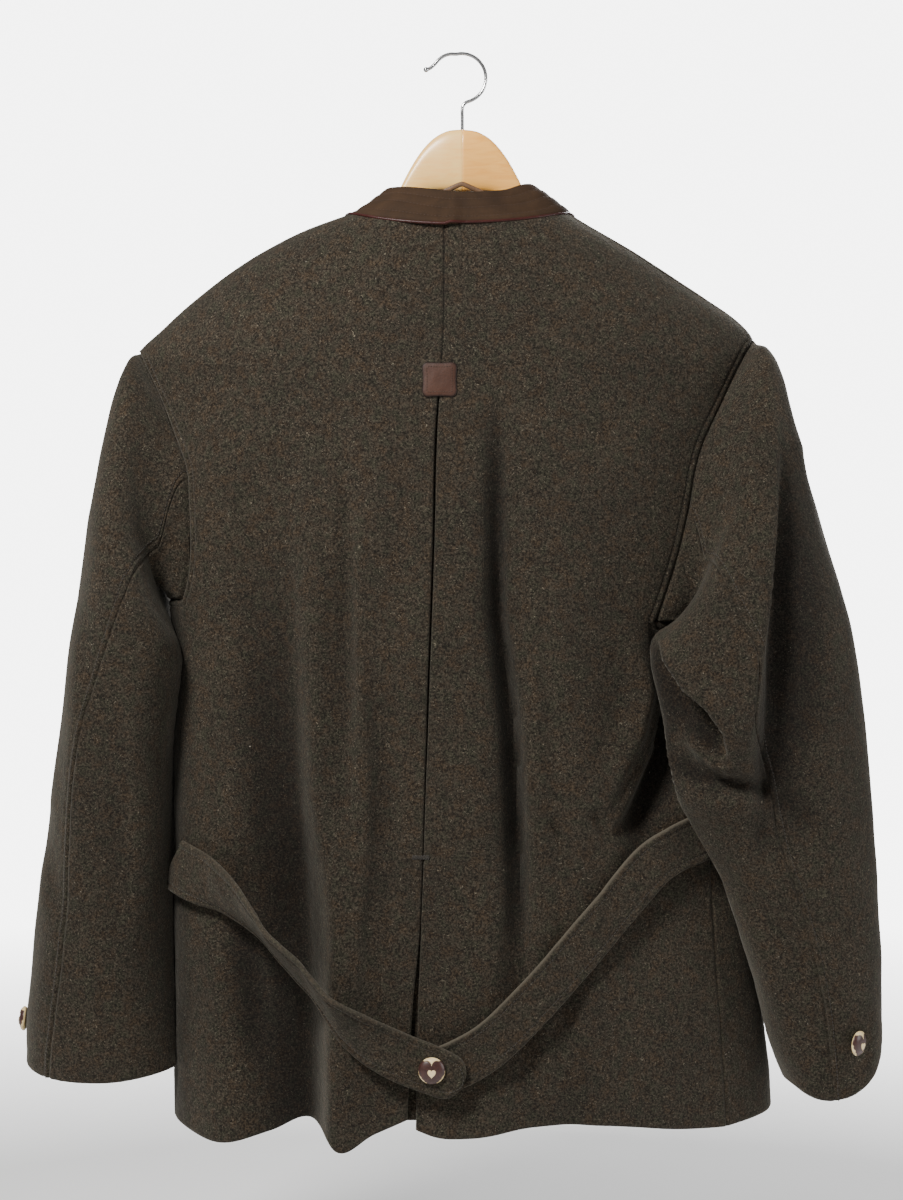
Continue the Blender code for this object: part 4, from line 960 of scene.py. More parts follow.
def sleeve(name, side, sections, seam_path, lines, cuff_round, back_under, front_under, seam_drop):
    """Both pieces of a sleeve, and the line beside its back seam where the stitches run."""
    loop = armhole_loop(side, back_under, front_under, seam_drop)
    angles, heights, (seam_back, seam_front) = loop
    grid = sleeve_grid(body(angles, heights), sections, seam_path, seam_back, lines, cuff_round)
    normals = ring_normals(grid)
    blend = smooth(np.arange(len(grid)) / 8)[:, None, None]
    normals = unit(body_normal(angles, heights)[None] * (1 - blend) + normals * blend)
    down = np.cumsum(np.linalg.norm(np.diff(grid, axis=0, prepend=grid[:1]), axis=-1), axis=0)
    across = np.linalg.norm(np.roll(grid, -1, axis=1) - grid, axis=-1)
    along = np.concatenate([np.zeros((len(grid), 1)), np.cumsum(across, axis=1)], axis=1)
    round_it, along = along[:, -1:], along[:, :-1]
    to_seam = np.full(along.shape, FAR)
    for seam in (seam_back, seam_front):
        aside = np.abs(along - along[:, seam : seam + 1])
        to_seam = np.minimum(to_seam, np.minimum(aside, round_it - aside))
    columns = np.arange(grid.shape[1])
    on_top = (columns <= seam_back) | (columns >= seam_front)
    to_cuff = down[-1:] - down
    detail = sewn_edge(down, False) + np.where(on_top, sewn_edge(to_seam), sewn_edge(to_seam, False))
    detail = detail + turned_edge(to_cuff)
    outer = grid + detail[..., None] * normals
    thick = WALL + (HEM_THICK - WALL) * smooth((HEM_ALLOWANCE - to_cuff) / 5)
    under = np.arange(seam_back, seam_front + 1)
    top = np.arange(seam_front, seam_back + len(columns) + 1) % len(columns)
    made = []
    for piece, chosen in (("under", under), ("top", top)):
        part = outer[:, chosen], normals[:, chosen], thick[:, chosen]
        obj = wall(f"{name}_{piece}_cloth", *part, loden)
        # Painted shade in the sleeve's creases
        paint_hollow_shade(obj, lines)
        made.append(obj)
    stitched_column = (seam_back - STITCH_STEP) % len(columns)
    return Sleeve(*made, outer, normals, outer[:, stitched_column])


sleeve_left = sleeve("sleeve_left", left, SLEEVE_LEFT, SLEEVE_SEAM_LEFT, CREASES_LEFT,
                     CUFF_ROUND_LEFT, 5, 5, SEAM_DROP_LEFT)
sleeve_right = sleeve("sleeve_right", right, SLEEVE_RIGHT, SLEEVE_SEAM_RIGHT, CREASES_RIGHT,
                      CUFF_ROUND_RIGHT, 0, 16, SEAM_DROP_RIGHT)
cloth(sleeve_left.top, "sleeve_left_top")
cloth(sleeve_left.under, "sleeve_left_under")
cloth(sleeve_right.top, "sleeve_right_top")
cloth(sleeve_right.under, "sleeve_right_under")

# ---------------------------------------------------------------------------------------------
# The stand collar: soft brown suede over a stiff layer, quilted with rows of stitching that run
# round it, with a dark red piping in the seam below.
# ---------------------------------------------------------------------------------------------

SUEDE = 2.0
SEAM_GAP = 0.3
COLLAR_TOP_X = 63.0
COLLAR_TOP_BACK, COLLAR_TOP_FRONT = 47.0, 62.0
COLLAR_TOP_BACK_Z, COLLAR_TOP_SIDE_Z, COLLAR_TOP_FRONT_Z = -124.0, -114.0, -180.0
COLLAR_OPENING = 1.5
COLLAR_QUILTING = (0.22, 0.5, 0.76)  # shares of its height


def leather_material(name, deep, light, grain, rough, sheen=0.0):
    """Leather or suede: two tones clouded together, a fine grain and darker cut edges."""
    made, tree, shader, where = new_material(
        name, Roughness=rough, Sheen_Weight=sheen, Sheen_Roughness=0.4, Sheen_Tint=(0.8, 0.62, 0.5, 1),
        Specular_IOR_Level=0.3)
    cloud = noise(tree, where, 38.0, 4.0, 0.6, 0.6)
    pores = noise(tree, where, grain, 3.0, 0.6)
    tone = ramp(tree, cloud, (0.3, deep), (0.7, light))
    grained = ramp(tree, pores, (0.35, (0.72, 0.7, 0.7)), (0.65, (1.25, 1.22, 1.2)))
    tone = mixed(tree, 0.5, tone, grained, "MULTIPLY")
    tone = mixed(tree, painted(tree, "edge"), tone, tuple(v * 0.22 for v in deep))
    tree.links.new(tone, shader.inputs["Base Color"])
    raised(tree, shader, (pores, 0.35, 0.0005), (cloud, 0.3, 0.002))
    return made


suede = leather_material("suede", (0.021, 0.0098, 0.0032), (0.038, 0.0185, 0.0068), 900.0, 0.85)

neck = []
for part in (back_left, back_right, front_left, front_right):
    neck += list(zip(part.angles[0, :MAIN_COLUMNS], part.heights[0, :MAIN_COLUMNS]))
seam_angle, seam_z = np.array(sorted(neck)).T
opening = COLLAR_OPENING / COLLAR_TOP_FRONT
collar_angle = np.linspace(-0.5 * math.pi + opening, 1.5 * math.pi - opening, 190)
collar_level = np.interp(collar_angle, seam_angle, seam_z)
stand = lap_lift(body(collar_angle, collar_level, folded=False)[..., 0]) * (np.cos(collar_angle) > 0)
seam_normal = body_normal(collar_angle, collar_level, stand, folded=False)
seam_line = body(collar_angle, collar_level, stand, folded=False)
rise = unit(np.cross(seam_normal, np.gradient(seam_line, axis=0)))
bottom = seam_line + SEAM_GAP * rise * np.sign(rise[:, 2:])
behind, before = np.clip(np.sin(collar_angle), 0, 1), np.clip(-np.sin(collar_angle), 0, 1)
top_z = (COLLAR_TOP_SIDE_Z + (COLLAR_TOP_BACK_Z - COLLAR_TOP_SIDE_Z) * behind**2
         + (COLLAR_TOP_FRONT_Z - COLLAR_TOP_SIDE_Z) * before**1.7)
deep = np.where(np.sin(collar_angle) >= 0, COLLAR_TOP_BACK, COLLAR_TOP_FRONT)
top = np.stack([COLLAR_TOP_X * np.cos(collar_angle), deep * np.sin(collar_angle), top_z], axis=-1)
height = np.concatenate([[0, 0.012, 0.03, 0.06], np.linspace(0.09, 0.94, 30),
                         [0.965, 0.982, 0.993, 1.0]])[:, None]
flat_collar = bottom + (top - bottom) * height[..., None]
collar_normals = unit(np.cross(np.gradient(flat_collar, axis=1), np.gradient(flat_collar, axis=0)))
high = np.linalg.norm(top - bottom, axis=-1)[None, :]
quilting = sum(np.exp(-(((height - share) * high / 1.3) ** 2)) for share in COLLAR_QUILTING)
puff = 0.5 * np.abs(np.sin(math.pi * height / 0.26)) - 0.55 * quilting
puff = puff - 1.1 * np.exp(-((height * high / 1.5) ** 2))
puff = puff - 0.8 * np.exp(-(((1 - height) * high / 1.0) ** 2))
puff = puff + 2.2 * unevenness(collar_angle * 70, height * high)
collar_outer = flat_collar + puff[..., None] * collar_normals
collar = wall("collar_suede", collar_outer, collar_normals, SUEDE + 0.5 * (puff > 0) * puff, suede)
cloth(collar, "collar")

# ---------------------------------------------------------------------------------------------
# The half-belts: two straps of doubled loden, sewn in at the side seams. They hang off the back
# and cross low down, where one button holds the left one on the right one.
# ---------------------------------------------------------------------------------------------

Belt = namedtuple("Belt", "x z lift turn width")
BELT_LEFT = rows(
    Belt,
    (239, -693, 8, 0, 44), (214, -703, 12, 0, 44), (190, -716, 19, -34, 42),
    (165, -739, 23, -60, 40), (138, -768, 24, -63, 40), (110, -800, 23, -60, 40),
    (82, -826, 20, -26, 40), (50, -843, 17, 0, 40), (20, -855, 16.5, 0, 40),
    (-4, -866, 16.5, 0, 36),
)
BELT_RIGHT = rows(
    Belt,
    (-206, -666, 8, 0, 40), (-180, -676, 10, 0, 39), (-158, -690, 12, 0, 38),
    (-130, -722, 12, 0, 37), (-96, -762, 12, 0, 37), (-62, -800, 11, 0, 37),
    (-28, -833, 11, 0, 38), (4, -852, 11, 0, 40), (34, -861, 11, 0, 38),
)
BELT_THICK = 4.2
BELT_END = 0.62  # stations over which its end is rounded
EDGE_STEPS = np.array([0, 0.35, 0.9, 1.6, 2.5, 3.8, 4.8, 5.5, 6.1, 6.8, 7.8, 9.6, 12.0, 14.6, 17.3])
BELT_HALF = 20.0


Strap = namedtuple("Strap", "obj outer normals stitches")


def half_belt(name, stations, edge_highlight):
    """A strap along its stations, from the side seam to its rounded end."""
    read = {column: by_index(stations, column) for column in Belt._fields}
    last = len(stations) - 1
    tip = last - BELT_END * (np.linspace(1, 0.02, 26)[1:]) ** 1.7
    at = np.concatenate([np.linspace(0, last - BELT_END, 130), tip])
    x, z = read["x"](at), read["z"](at)
    along = unit(np.stack([np.gradient(x), np.gradient(z)], axis=-1))
    up = np.stack([-along[:, 1], along[:, 0]], axis=-1)
    up *= np.sign(up[:, 1:2])
    turn = np.radians(read["turn"](at))
    past = np.clip((at - (last - BELT_END)) / BELT_END, 0, 1)
    width = read["width"](at) * np.sqrt(1 - past**2.4)
    share = np.concatenate([EDGE_STEPS, [BELT_HALF], (2 * BELT_HALF - EDGE_STEPS)[::-1]])
    share = share / (4 * BELT_HALF) * 2 - 0.5
    flat = share[None, :] * width[:, None]
    run = np.append(0, np.cumsum(np.hypot(np.diff(x), np.diff(z))))
    edge = np.concatenate([np.stack([run, flat[:, 0]], -1), np.stack([run, flat[:, -1]], -1)])
    here = np.stack([np.repeat(run[:, None], len(share), axis=1), flat], axis=-1)
    to_edge = np.min(np.linalg.norm(here[:, :, None] - edge[None, None], axis=-1), axis=-1)
    slanted, tipped = flat * np.cos(turn)[:, None], flat * np.sin(turn)[:, None]
    place_x, place_z = x[:, None] + up[:, :1] * slanted, z[:, None] + up[:, 1:] * slanted
    stand = read["lift"](at)[:, None] - tipped
    face = body(angle_at(place_x, place_z), place_z, stand, folded=False)
    normals = unit(np.cross(np.gradient(face, axis=0), np.gradient(face, axis=1)))
    normals *= np.sign(np.sum(normals * np.array([0.0, 1.0, 0.15]), axis=-1).mean())
    half = BELT_THICK / 2
    drop = half - np.sqrt(np.clip(half**2 - (half - np.minimum(to_edge, half)) ** 2, 0, None))
    drop = np.minimum(drop, 1.75)
    sunk = 0.75 * np.exp(-(((to_edge - STITCH_IN) / 0.85) ** 2))
    sunk = sunk - 0.35 * np.exp(-(((to_edge - 3.0) / 1.6) ** 2))
    wave = unevenness(run[:, None] * 1.7 + flat, flat * 1.3)
    outer = face + (wave - drop - sunk)[..., None] * normals
    obj = wall(name, outer, normals, BELT_THICK - 2 * drop - 0.8 * sunk, loden)
    # Painted highlight along the strap's upper edge
    upper = np.exp(-(((width[:, None] / 2 - flat) / 1.6) ** 2)) * edge_highlight
    paint(obj, "edge_highlight", np.tile(upper.reshape(-1), 2))
    insets = flat[:, 0] + STITCH_IN, flat[:, -1] - STITCH_IN
    keep = np.nonzero(insets[0] < insets[1] - 1.0)[0]
    lines = [np.array([[np.interp(inset[i], flat[i], outer[i, :, a]) for a in range(3)] for i in keep])
             for inset in insets]
    return Strap(obj, outer, normals, np.concatenate([lines[0], lines[1][::-1]]))


# The right belt gets the full painted highlight on its upper edge, the left a quarter of it
belt_right = half_belt("half_belt_right_cloth", BELT_RIGHT, 1.0)
belt_left = half_belt("half_belt_left_cloth", BELT_LEFT, 0.25)
cloth(belt_right.obj, "half_belt_right")
cloth(belt_left.obj, "half_belt_left")

# ---------------------------------------------------------------------------------------------
# The patch that covers the top of the pleat: a small square of reddish brown leather with rounded
# corners and slightly hollow sides, stitched on all round near its edge.
# ---------------------------------------------------------------------------------------------

PATCH_HALF = 15.0
PATCH_THICK = 1.6
PATCH_Z = -286.0
PATCH_CORNER = 0.55  # how far out its corners start to round

leather = leather_material("leather", (0.036, 0.0128, 0.0066), (0.055, 0.021, 0.0112), 700.0, 0.6)

steps = np.concatenate([[-1, -0.985, -0.95, -0.9], np.linspace(-0.83, 0.83, 36), [0.9, 0.95, 0.985, 1]])
a, b = np.meshgrid(steps, steps)
past_a, past_b = (np.maximum(np.abs(v) - PATCH_CORNER, 0) for v in (a, b))
shorter = np.maximum(past_a, past_b) / np.maximum(np.hypot(past_a, past_b), 1e-6)
round_a = np.sign(a) * (np.abs(a) - past_a * (1 - shorter))
round_b = np.sign(b) * (np.abs(b) - past_b * (1 - shorter))
square_x, square_z = round_a * (0.93 + 0.1 * round_b**2), round_b * (0.93 + 0.1 * round_a**2)
out = np.maximum(np.abs(a), np.abs(b))
patch_x = centre_x(np.array(PATCH_Z)) + PATCH_HALF * square_x
patch_z = PATCH_Z + PATCH_HALF * square_z
patch_angle = angle_at(patch_x, patch_z)
patch_normals = body_normal(patch_angle, patch_z)
inside = (1 - out) * PATCH_HALF
rim = -0.9 * np.exp(-((inside / 0.6) ** 2)) - 0.3 * np.exp(-(((inside - 1.9) / 0.5) ** 2))
puffed = rim + 0.35 * unevenness(patch_x * 3, patch_z * 3)
stand = SEAM_GAP + PATCH_THICK + puffed
patch_outer = body(patch_angle, patch_z) + stand[..., None] * patch_normals
patch = wall("back_patch_leather", patch_outer, patch_normals, PATCH_THICK + puffed, leather)
edge_tone = np.exp(-((inside / 1.1) ** 2)) + 0.25 * np.exp(-(((inside - 1.9) / 0.5) ** 2))
paint(patch, "edge", np.tile(np.clip(edge_tone, 0, 1).reshape(-1), 2))
cloth(patch, "back_patch")

# ---------------------------------------------------------------------------------------------
# The buttons: cast cream horn, domed, with a dark heart sunk in the face and a small pale heart
# in that. One holds the half-belts, one sits on each cuff and five close the front.
# ---------------------------------------------------------------------------------------------

BUTTON_RADIUS, CUFF_BUTTON_RADIUS = 11.0, 10.5
BUTTON_THICK = 6.5
CUFF_BUTTON_LEFT, CUFF_BUTTON_RIGHT = (374, -8, -830), (-328, 46, -836)
CUFF_BUTTON_TURN, CUFF_BUTTON_OUT = 0.9, 3.0  # the right one is pulled over towards the outside
FRONT_BUTTONS = (-236, -346, -456, -566, -676)
BELT_BUTTON_X, BELT_BUTTON_Z = 20.5, -852.0
# Rings of its face and of its back as shares of the radius, and how high the back ones stand
BUTTON_FACE = np.append(np.linspace(0.03, 0.9, 34), [0.94, 0.97, 0.99, 1.0])
BUTTON_BACK = (0.985, 0.93, 0.82, 0.5, 0.05)
BUTTON_BACK_HIGH = (0.2, 0.08, 0, 0, 0)
BUTTON_SPOKES = 84

horn, tree, shader, where = new_material(
    "horn", Roughness=0.42, Coat_Weight=0.15, Coat_Roughness=0.15, Subsurface_Weight=0.06,
    Subsurface_Radius=(0.003, 0.002, 0.001))
cream = ramp(tree, noise(tree, where, 160.0, 3.0), (0.3, (0.7, 0.52, 0.25)), (0.7, (0.85, 0.69, 0.4)))
dark = ramp(tree, noise(tree, where, 500.0, 2.0), (0.3, (0.028, 0.008, 0.006)), (0.7, (0.055, 0.017, 0.012)))
tree.links.new(mixed(tree, painted(tree, "inlay"), cream, dark), shader.inputs["Base Color"])
raised(tree, shader, (noise(tree, where, 420.0, 2.0), 0.12, 0.0004))


def heart(x, y, size, scallop=0.0):
    """Below 0 inside a heart whose tip points down, in shares of the button's radius."""
    x, y = x / size, y / size
    turn = np.arctan2(y, x)
    edge = np.sqrt(x**2 + (1.15 * y - 0.72 * np.sqrt(np.abs(x))) ** 2) - 1
    return edge - scallop * np.abs(np.sin(8 * turn))


def button(node, centre, facing, radius):
    """A domed disc as rings from the middle of its face, over the rim, to the middle of its back."""
    ring = np.concatenate([BUTTON_FACE, BUTTON_BACK])
    face = np.arange(len(ring)) < len(BUTTON_FACE)
    dome = 0.35 + 0.65 * np.clip(1 - ring**2.6, 0, 1) ** 0.6
    dome[len(BUTTON_FACE) :] = BUTTON_BACK_HIGH
    turn = np.linspace(0, math.tau, BUTTON_SPOKES, endpoint=False)
    u, v = ring[:, None] * np.cos(turn), ring[:, None] * np.sin(turn)
    in_heart = smooth(0.5 - heart(u, v + 0.45, 1.0, 0.06) / 0.06) * face[:, None]
    in_middle = smooth(0.5 - heart(u, v + 0.26, 0.3) / 0.16) * face[:, None]
    inlay = in_heart * (1 - in_middle)
    height = BUTTON_THICK * dome[:, None] - 0.5 * in_heart + 0.7 * in_middle
    axis = unit(np.asarray(facing, float))
    up = unit(np.array([0, 0, 1.0]) - axis * axis[2])
    side = np.cross(up, axis)
    points = (np.asarray(centre, float) + axis * (height[..., None] + SEAM_GAP)
              + radius * (u[..., None] * side + v[..., None] * up))
    obj = closed_rings(f"{node}_horn", points, horn, 50, -1)
    paint(obj, "inlay", inlay.reshape(-1))
    finished(obj, node)


middle = belt_left.outer.shape[1] // 2
spine = belt_left.outer[:, middle]
near = np.argmin(np.hypot(spine[:, 0] - BELT_BUTTON_X, spine[:, 2] - BELT_BUTTON_Z))
button("belt_button", spine[near], belt_left.normals[near, middle], BUTTON_RADIUS)
for k, z in enumerate(FRONT_BUTTONS, 1):
    place = np.array([-0.5 * math.pi]), np.array([z]), LAP_LIFT
    button(f"front_button_{k}", body(*place)[0], body_normal(*place)[0], BUTTON_RADIUS)
for node, arm, target in (("cuff_button_left", sleeve_left, CUFF_BUTTON_LEFT),
                          ("cuff_button_right", sleeve_right, CUFF_BUTTON_RIGHT)):
    points, normals = arm.outer.reshape(-1, 3), arm.normals.reshape(-1, 3)
    nearest = np.argmin(np.linalg.norm(points - np.array(target), axis=1))
    facing = normals[nearest] + np.array([-CUFF_BUTTON_TURN, 0, 0]) * (target[0] < 0)
    standing = points[nearest] + CUFF_BUTTON_OUT * normals[nearest] * (target[0] < 0)
    button(node, standing, facing, CUFF_BUTTON_RADIUS)

# ---------------------------------------------------------------------------------------------
# The hanging loop: a folded strip of light brown leather sewn inside the collar, whose tip stands
# up above its edge; and the piping round the neck seam.
# ---------------------------------------------------------------------------------------------

HANGER_X = -3.4


def tube(name, line, radius, finish, node=None, sides=12, squash=1.0):
    """A closed round or flattened tube through the points."""
    along = unit(np.gradient(line, axis=0))
    side = unit(np.cross(along, np.array([0.0, 1.0, 0.0])))
    other = np.cross(side, along)
    turns = np.linspace(0, math.tau, sides, endpoint=False)
    radius = np.broadcast_to(radius, len(line))[:, None, None]
    spokes = side[:, None] * np.cos(turns)[:, None] + squash * other[:, None] * np.sin(turns)[:, None]
    obj = closed_rings(name, line[:, None] + radius * spokes, finish, 70)
    mesh = obj.data
    middle = Vector(np.array([v.co[:] for v in mesh.vertices]).mean(axis=0))
    if sum(f.normal.dot(f.center - middle) * f.area for f in mesh.polygons) < 0:
        mesh.flip_normals()
    finished(obj, node)


strap = leather_material("strap", (0.1, 0.052, 0.026), (0.17, 0.1, 0.055), 800.0, 0.45)
piping_leather = leather_material("piping", (0.028, 0.0058, 0.0042), (0.048, 0.01, 0.0075), 800.0, 0.4)

LOOP_PEAK_Z, LOOP_SLOPE = -117.6, 0.46
LOOP_HALF, LOOP_FLAT = 2.1, 0.5
PIPING_RADIUS = 1.2

piping_line = bottom + SEAM_GAP * seam_normal
loop_x = np.linspace(-24, 24, 49)
loop_z = LOOP_PEAK_Z - LOOP_SLOPE * (np.sqrt(loop_x**2 + 2.0) - 1.4)
loop_x = loop_x + HANGER_X + 0.5
loop_line = np.stack([loop_x, np.full(49, COLLAR_TOP_BACK - 8.5), loop_z], axis=-1)
tube("hanging_loop_strap", loop_line, LOOP_HALF, strap, "hanging_loop", 14, LOOP_FLAT)
tube("neck_piping", piping_line, PIPING_RADIUS, piping_leather, sides=10)

# ---------------------------------------------------------------------------------------------
# The hanger: two arms of pale maple, mitred in the middle, lacquered, with long grain.
# ---------------------------------------------------------------------------------------------

Wood = namedtuple("Wood", "x top low thick")
HANGER_WOOD = rows(
    Wood,
    (0, -64, -118, 16), (14, -66, -117, 16), (27, -74, -118, 15), (38, -87, -123, 15),
    (48, -104, -132, 15), (58, -124, -148, 15), (74, -146, -168, 16), (100, -159, -184, 17),
    (130, -174, -202, 20), (160, -191, -221, 24), (190, -212, -241, 28), (210, -228, -252, 28),
)
HANGER_SWEEP, HANGER_TILT = 0.075, 0.025
MITRE_GAP = 0.02


def wood_material(name, pale, deep):
    """Pale wood with its grain drawn out along the arm, under a clear lacquer."""
    made, tree, shader, where = new_material(name, Roughness=0.38, Coat_Weight=0.3, Coat_Roughness=0.2)
    stretched = add_node(tree, "ShaderNodeMapping", {"Vector": where}, Scale=(0.14, 1.0, 1.0))
    stretched.inputs["Rotation"].default_value = (0, 0.6, 0)
    grain = noise(tree, stretched.outputs["Vector"], 260.0, 4.0, 0.62, 0.8)
    cloud = noise(tree, where, 30.0, 2.0)
    tone = ramp(tree, grain, (0.3, deep), (0.55, pale), (0.75, tuple(min(1.0, v * 1.06) for v in pale)))
    shaded = ramp(tree, cloud, (0.3, (0.93, 0.9, 0.86)), (0.7, (1.0, 1.0, 1.0)))
    tone = mixed(tree, 0.6, tone, shaded, "MULTIPLY")
    tree.links.new(tone, shader.inputs["Base Color"])
    raised(tree, shader, (grain, 0.12, 0.0005))
    return made


def hanger_half(node, sign, finish):
    """One arm as rounded rings from the mitre out to its tip, with softened ends."""
    wood_top, wood_low, wood_thick = (track(HANGER_WOOD, "x", column) for column in ("top", "low", "thick"))
    tip = HANGER_WOOD[-1].x
    reach = np.concatenate([[MITRE_GAP, 0.5], np.linspace(2, tip - 2, 90), tip - np.array([1.2, 0.5, 0.1])])
    shrink = np.ones(len(reach))
    shrink[0], shrink[-3:] = 0.975, (0.97, 0.92, 0.85)
    turns = np.linspace(0, math.tau, 40, endpoint=False)
    c, s = np.cos(turns), np.sin(turns)
    middle = ((wood_top(reach) + wood_low(reach)) / 2)[:, None]
    half = ((wood_top(reach) - wood_low(reach)) / 2 * shrink)[:, None]
    deep = (wood_thick(reach) / 2 * shrink)[:, None]
    y = deep * np.sign(c) * np.abs(c) ** 0.6 - HANGER_SWEEP * reach[:, None]
    z = middle + half * np.sign(s) * np.abs(s) ** 0.6 + HANGER_TILT * sign * reach[:, None]
    x = np.broadcast_to(HANGER_X + sign * reach[:, None], y.shape)
    obj = closed_rings(f"{node}_wood", np.stack([x, y, z], axis=-1), finish, 50, sign)
    finished(obj, node)


# One maple in lit and shaded copies: the right arm's darker colours are painted shade, the left arm's
# lighter ones painted light
hanger_half("hanger_left", 1, wood_material("maple", (1.0, 0.62, 0.2), (1.0, 0.54, 0.14)))
hanger_half("hanger_right", -1, wood_material("maple_shaded_right", (0.95, 0.48, 0.11), (0.88, 0.4, 0.075)))

# ---------------------------------------------------------------------------------------------
# The hook: one bent wire, chromed, with a small ball pressed on its tip.
# ---------------------------------------------------------------------------------------------

HOOK_WIRE, HOOK_BEND, HOOK_BALL = 1.5, 21.0, 2.3
HOOK_X, HOOK_Z = -2.6, -19.5
HOOK_TIP = ((28.8, -12.6), (25, -11.4), (21, -8.2), (16.8, -3.6), (12, -0.3), (6.8, 1.1))
HOOK_STEM = ((-5.4, -41.4), (-3.9, -43.6), (HANGER_X, -46.5), (HANGER_X, -55), (HANGER_X, -63.6))

chrome, tree, shader, where = new_material("chrome", Metallic=1.0, Roughness=0.14)
scuffs = noise(tree, where, 900.0, 3.0, 0.6)
tone = ramp(tree, scuffs, (0.3, (0.5, 0.5, 0.5)), (0.7, (0.72, 0.72, 0.72)))
tree.links.new(tone, shader.inputs["Base Color"])
tree.links.new(ramp(tree, scuffs, (0.3, (0.1,)), (0.75, (0.24,))), shader.inputs["Roughness"])

over = np.radians(np.linspace(78, 252, 60))
bend = np.stack([HOOK_X + HOOK_BEND * np.cos(over), HOOK_Z + HOOK_BEND * np.sin(over)], axis=-1)
knots = np.concatenate([np.array(HOOK_TIP), bend[::3], np.array(HOOK_STEM)])
run = np.append(0, np.cumsum(np.linalg.norm(np.diff(knots, axis=0), axis=-1)))
Knot = namedtuple("Knot", "at x z")
wire_knots = [Knot(*values) for values in zip(run, knots[:, 0], knots[:, 1])]
along = np.linspace(0, run[-1], 170)
wire_x, wire_z = (track(wire_knots, "at", column)(along) for column in ("x", "z"))
wire = np.stack([wire_x, np.zeros(len(along)), wire_z], axis=-1)
tube("hook_wire", wire, HOOK_WIRE, chrome, "hook", 20)
ball_steps = np.linspace(0.02, 0.98, 22) * math.pi
outward = (wire[0] - wire[3]) / np.linalg.norm(wire[0] - wire[3])
ball_line = wire[0] + outward * (HOOK_BALL * np.cos(ball_steps) - 1.0)[:, None]
tube("hook_tip", ball_line, HOOK_BALL * np.sin(ball_steps), chrome, sides=24)

# ---------------------------------------------------------------------------------------------
# The topstitching: strong dark brown thread, one short stitch after another along the armholes,
# the sleeves' back seams, the half-belts, the collar and the patch, and a bar tack on the pleat.
# ---------------------------------------------------------------------------------------------

thread, tree, shader, where = new_material(
    "thread", Roughness=0.6, Sheen_Weight=0.2, Specular_IOR_Level=0.35)
strands = noise(tree, where, 1500.0, 2.0)
twist = ramp(tree, strands, (0.35, (0.012, 0.009, 0.006)), (0.65, (0.034, 0.026, 0.018)))
tree.links.new(twist, shader.inputs["Base Color"])


def stitch_tree():
    """Geometry nodes that lay a short stitch at even steps along every line of a wire mesh."""
    tree = bpy.data.node_groups.new("stitches", "GeometryNodeTree")
    face = tree.interface
    face.new_socket("Geometry", in_out="INPUT", socket_type="NodeSocketGeometry")
    for label, start in (("Spacing", 0.0031), ("Thickness", 0.0004), ("Length", 0.0011)):
        face.new_socket(label, in_out="INPUT", socket_type="NodeSocketFloat").default_value = start
    face.new_socket("Thread", in_out="INPUT", socket_type="NodeSocketMaterial")
    face.new_socket("Geometry", in_out="OUTPUT", socket_type="NodeSocketGeometry")
    given = add_node(tree, "NodeGroupInput").outputs
    curve = add_node(tree, "GeometryNodeMeshToCurve", {"Mesh": given["Geometry"]})
    points = add_node(tree, "GeometryNodeCurveToPoints",
                      {"Curve": curve.outputs["Curve"], "Length": given["Spacing"]},
                      settings={"mode": "LENGTH"})
    bead = add_node(tree, "GeometryNodeMeshUVSphere", Segments=6, Rings=4, Radius=1.0)
    size = add_node(tree, "ShaderNodeCombineXYZ",
                    {"X": given["Thickness"], "Y": given["Thickness"], "Z": given["Length"]})
    placed = add_node(tree, "GeometryNodeInstanceOnPoints",
                      {"Points": points.outputs["Points"], "Instance": bead.outputs["Mesh"],
                       "Rotation": points.outputs["Rotation"], "Scale": size.outputs["Vector"]})
    real = add_node(tree, "GeometryNodeRealizeInstances", {"Geometry": placed.outputs["Instances"]})
    smooth_faces = add_node(tree, "GeometryNodeSetShadeSmooth", {"Geometry": real.outputs["Geometry"]})
    coloured = add_node(tree, "GeometryNodeSetMaterial",
                        {"Geometry": smooth_faces.outputs["Geometry"], "Material": given["Thread"]})
    add_node(tree, "NodeGroupOutput", {"Geometry": coloured.outputs["Geometry"]})
    return tree


STITCHES = stitch_tree()


def stitched(name, lines, finish, **sizes):
    """A row of stitches along each line, as one plain mesh."""
    wire_mesh = bpy.data.meshes.new(f"{name}_lines")
    points, edges = [], []
    for line in lines:
        first = len(points)
        points += (np.asarray(line) * MM).tolist()
        edges += [(first + k, first + k + 1) for k in range(len(line) - 1)]
    wire_mesh.from_pydata(points, edges, [])
    source = put(f"{name}_lines", wire_mesh)
    modifier = source.modifiers.new("stitches", "NODES")
    modifier.node_group = STITCHES
    items = STITCHES.interface.items_tree
    sockets = {item.name: item.identifier for item in items if item.in_out == "INPUT"}
    modifier[sockets["Thread"]] = finish
    for label, value in sizes.items():
        modifier[sockets[label]] = value
    seen = source.evaluated_get(bpy.context.evaluated_depsgraph_get())
    mesh = bpy.data.meshes.new_from_object(seen)
    mesh.name = name
    obj = put(name, mesh)
    bpy.data.objects.remove(source)
    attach(obj, "root")


def armhole_line(part):
    """The stitched column of a panel, from the shoulder to the armpit."""
    rows_down = slice(part.side.top_row + 1, part.side.pit_row + 1)
    return part.outer[rows_down, MAIN_COLUMNS - 1 - STITCH_STEP]


FRONT_EDGE_COLUMN = 5
PATCH_STITCH = 6  # how many columns in from the patch's edge

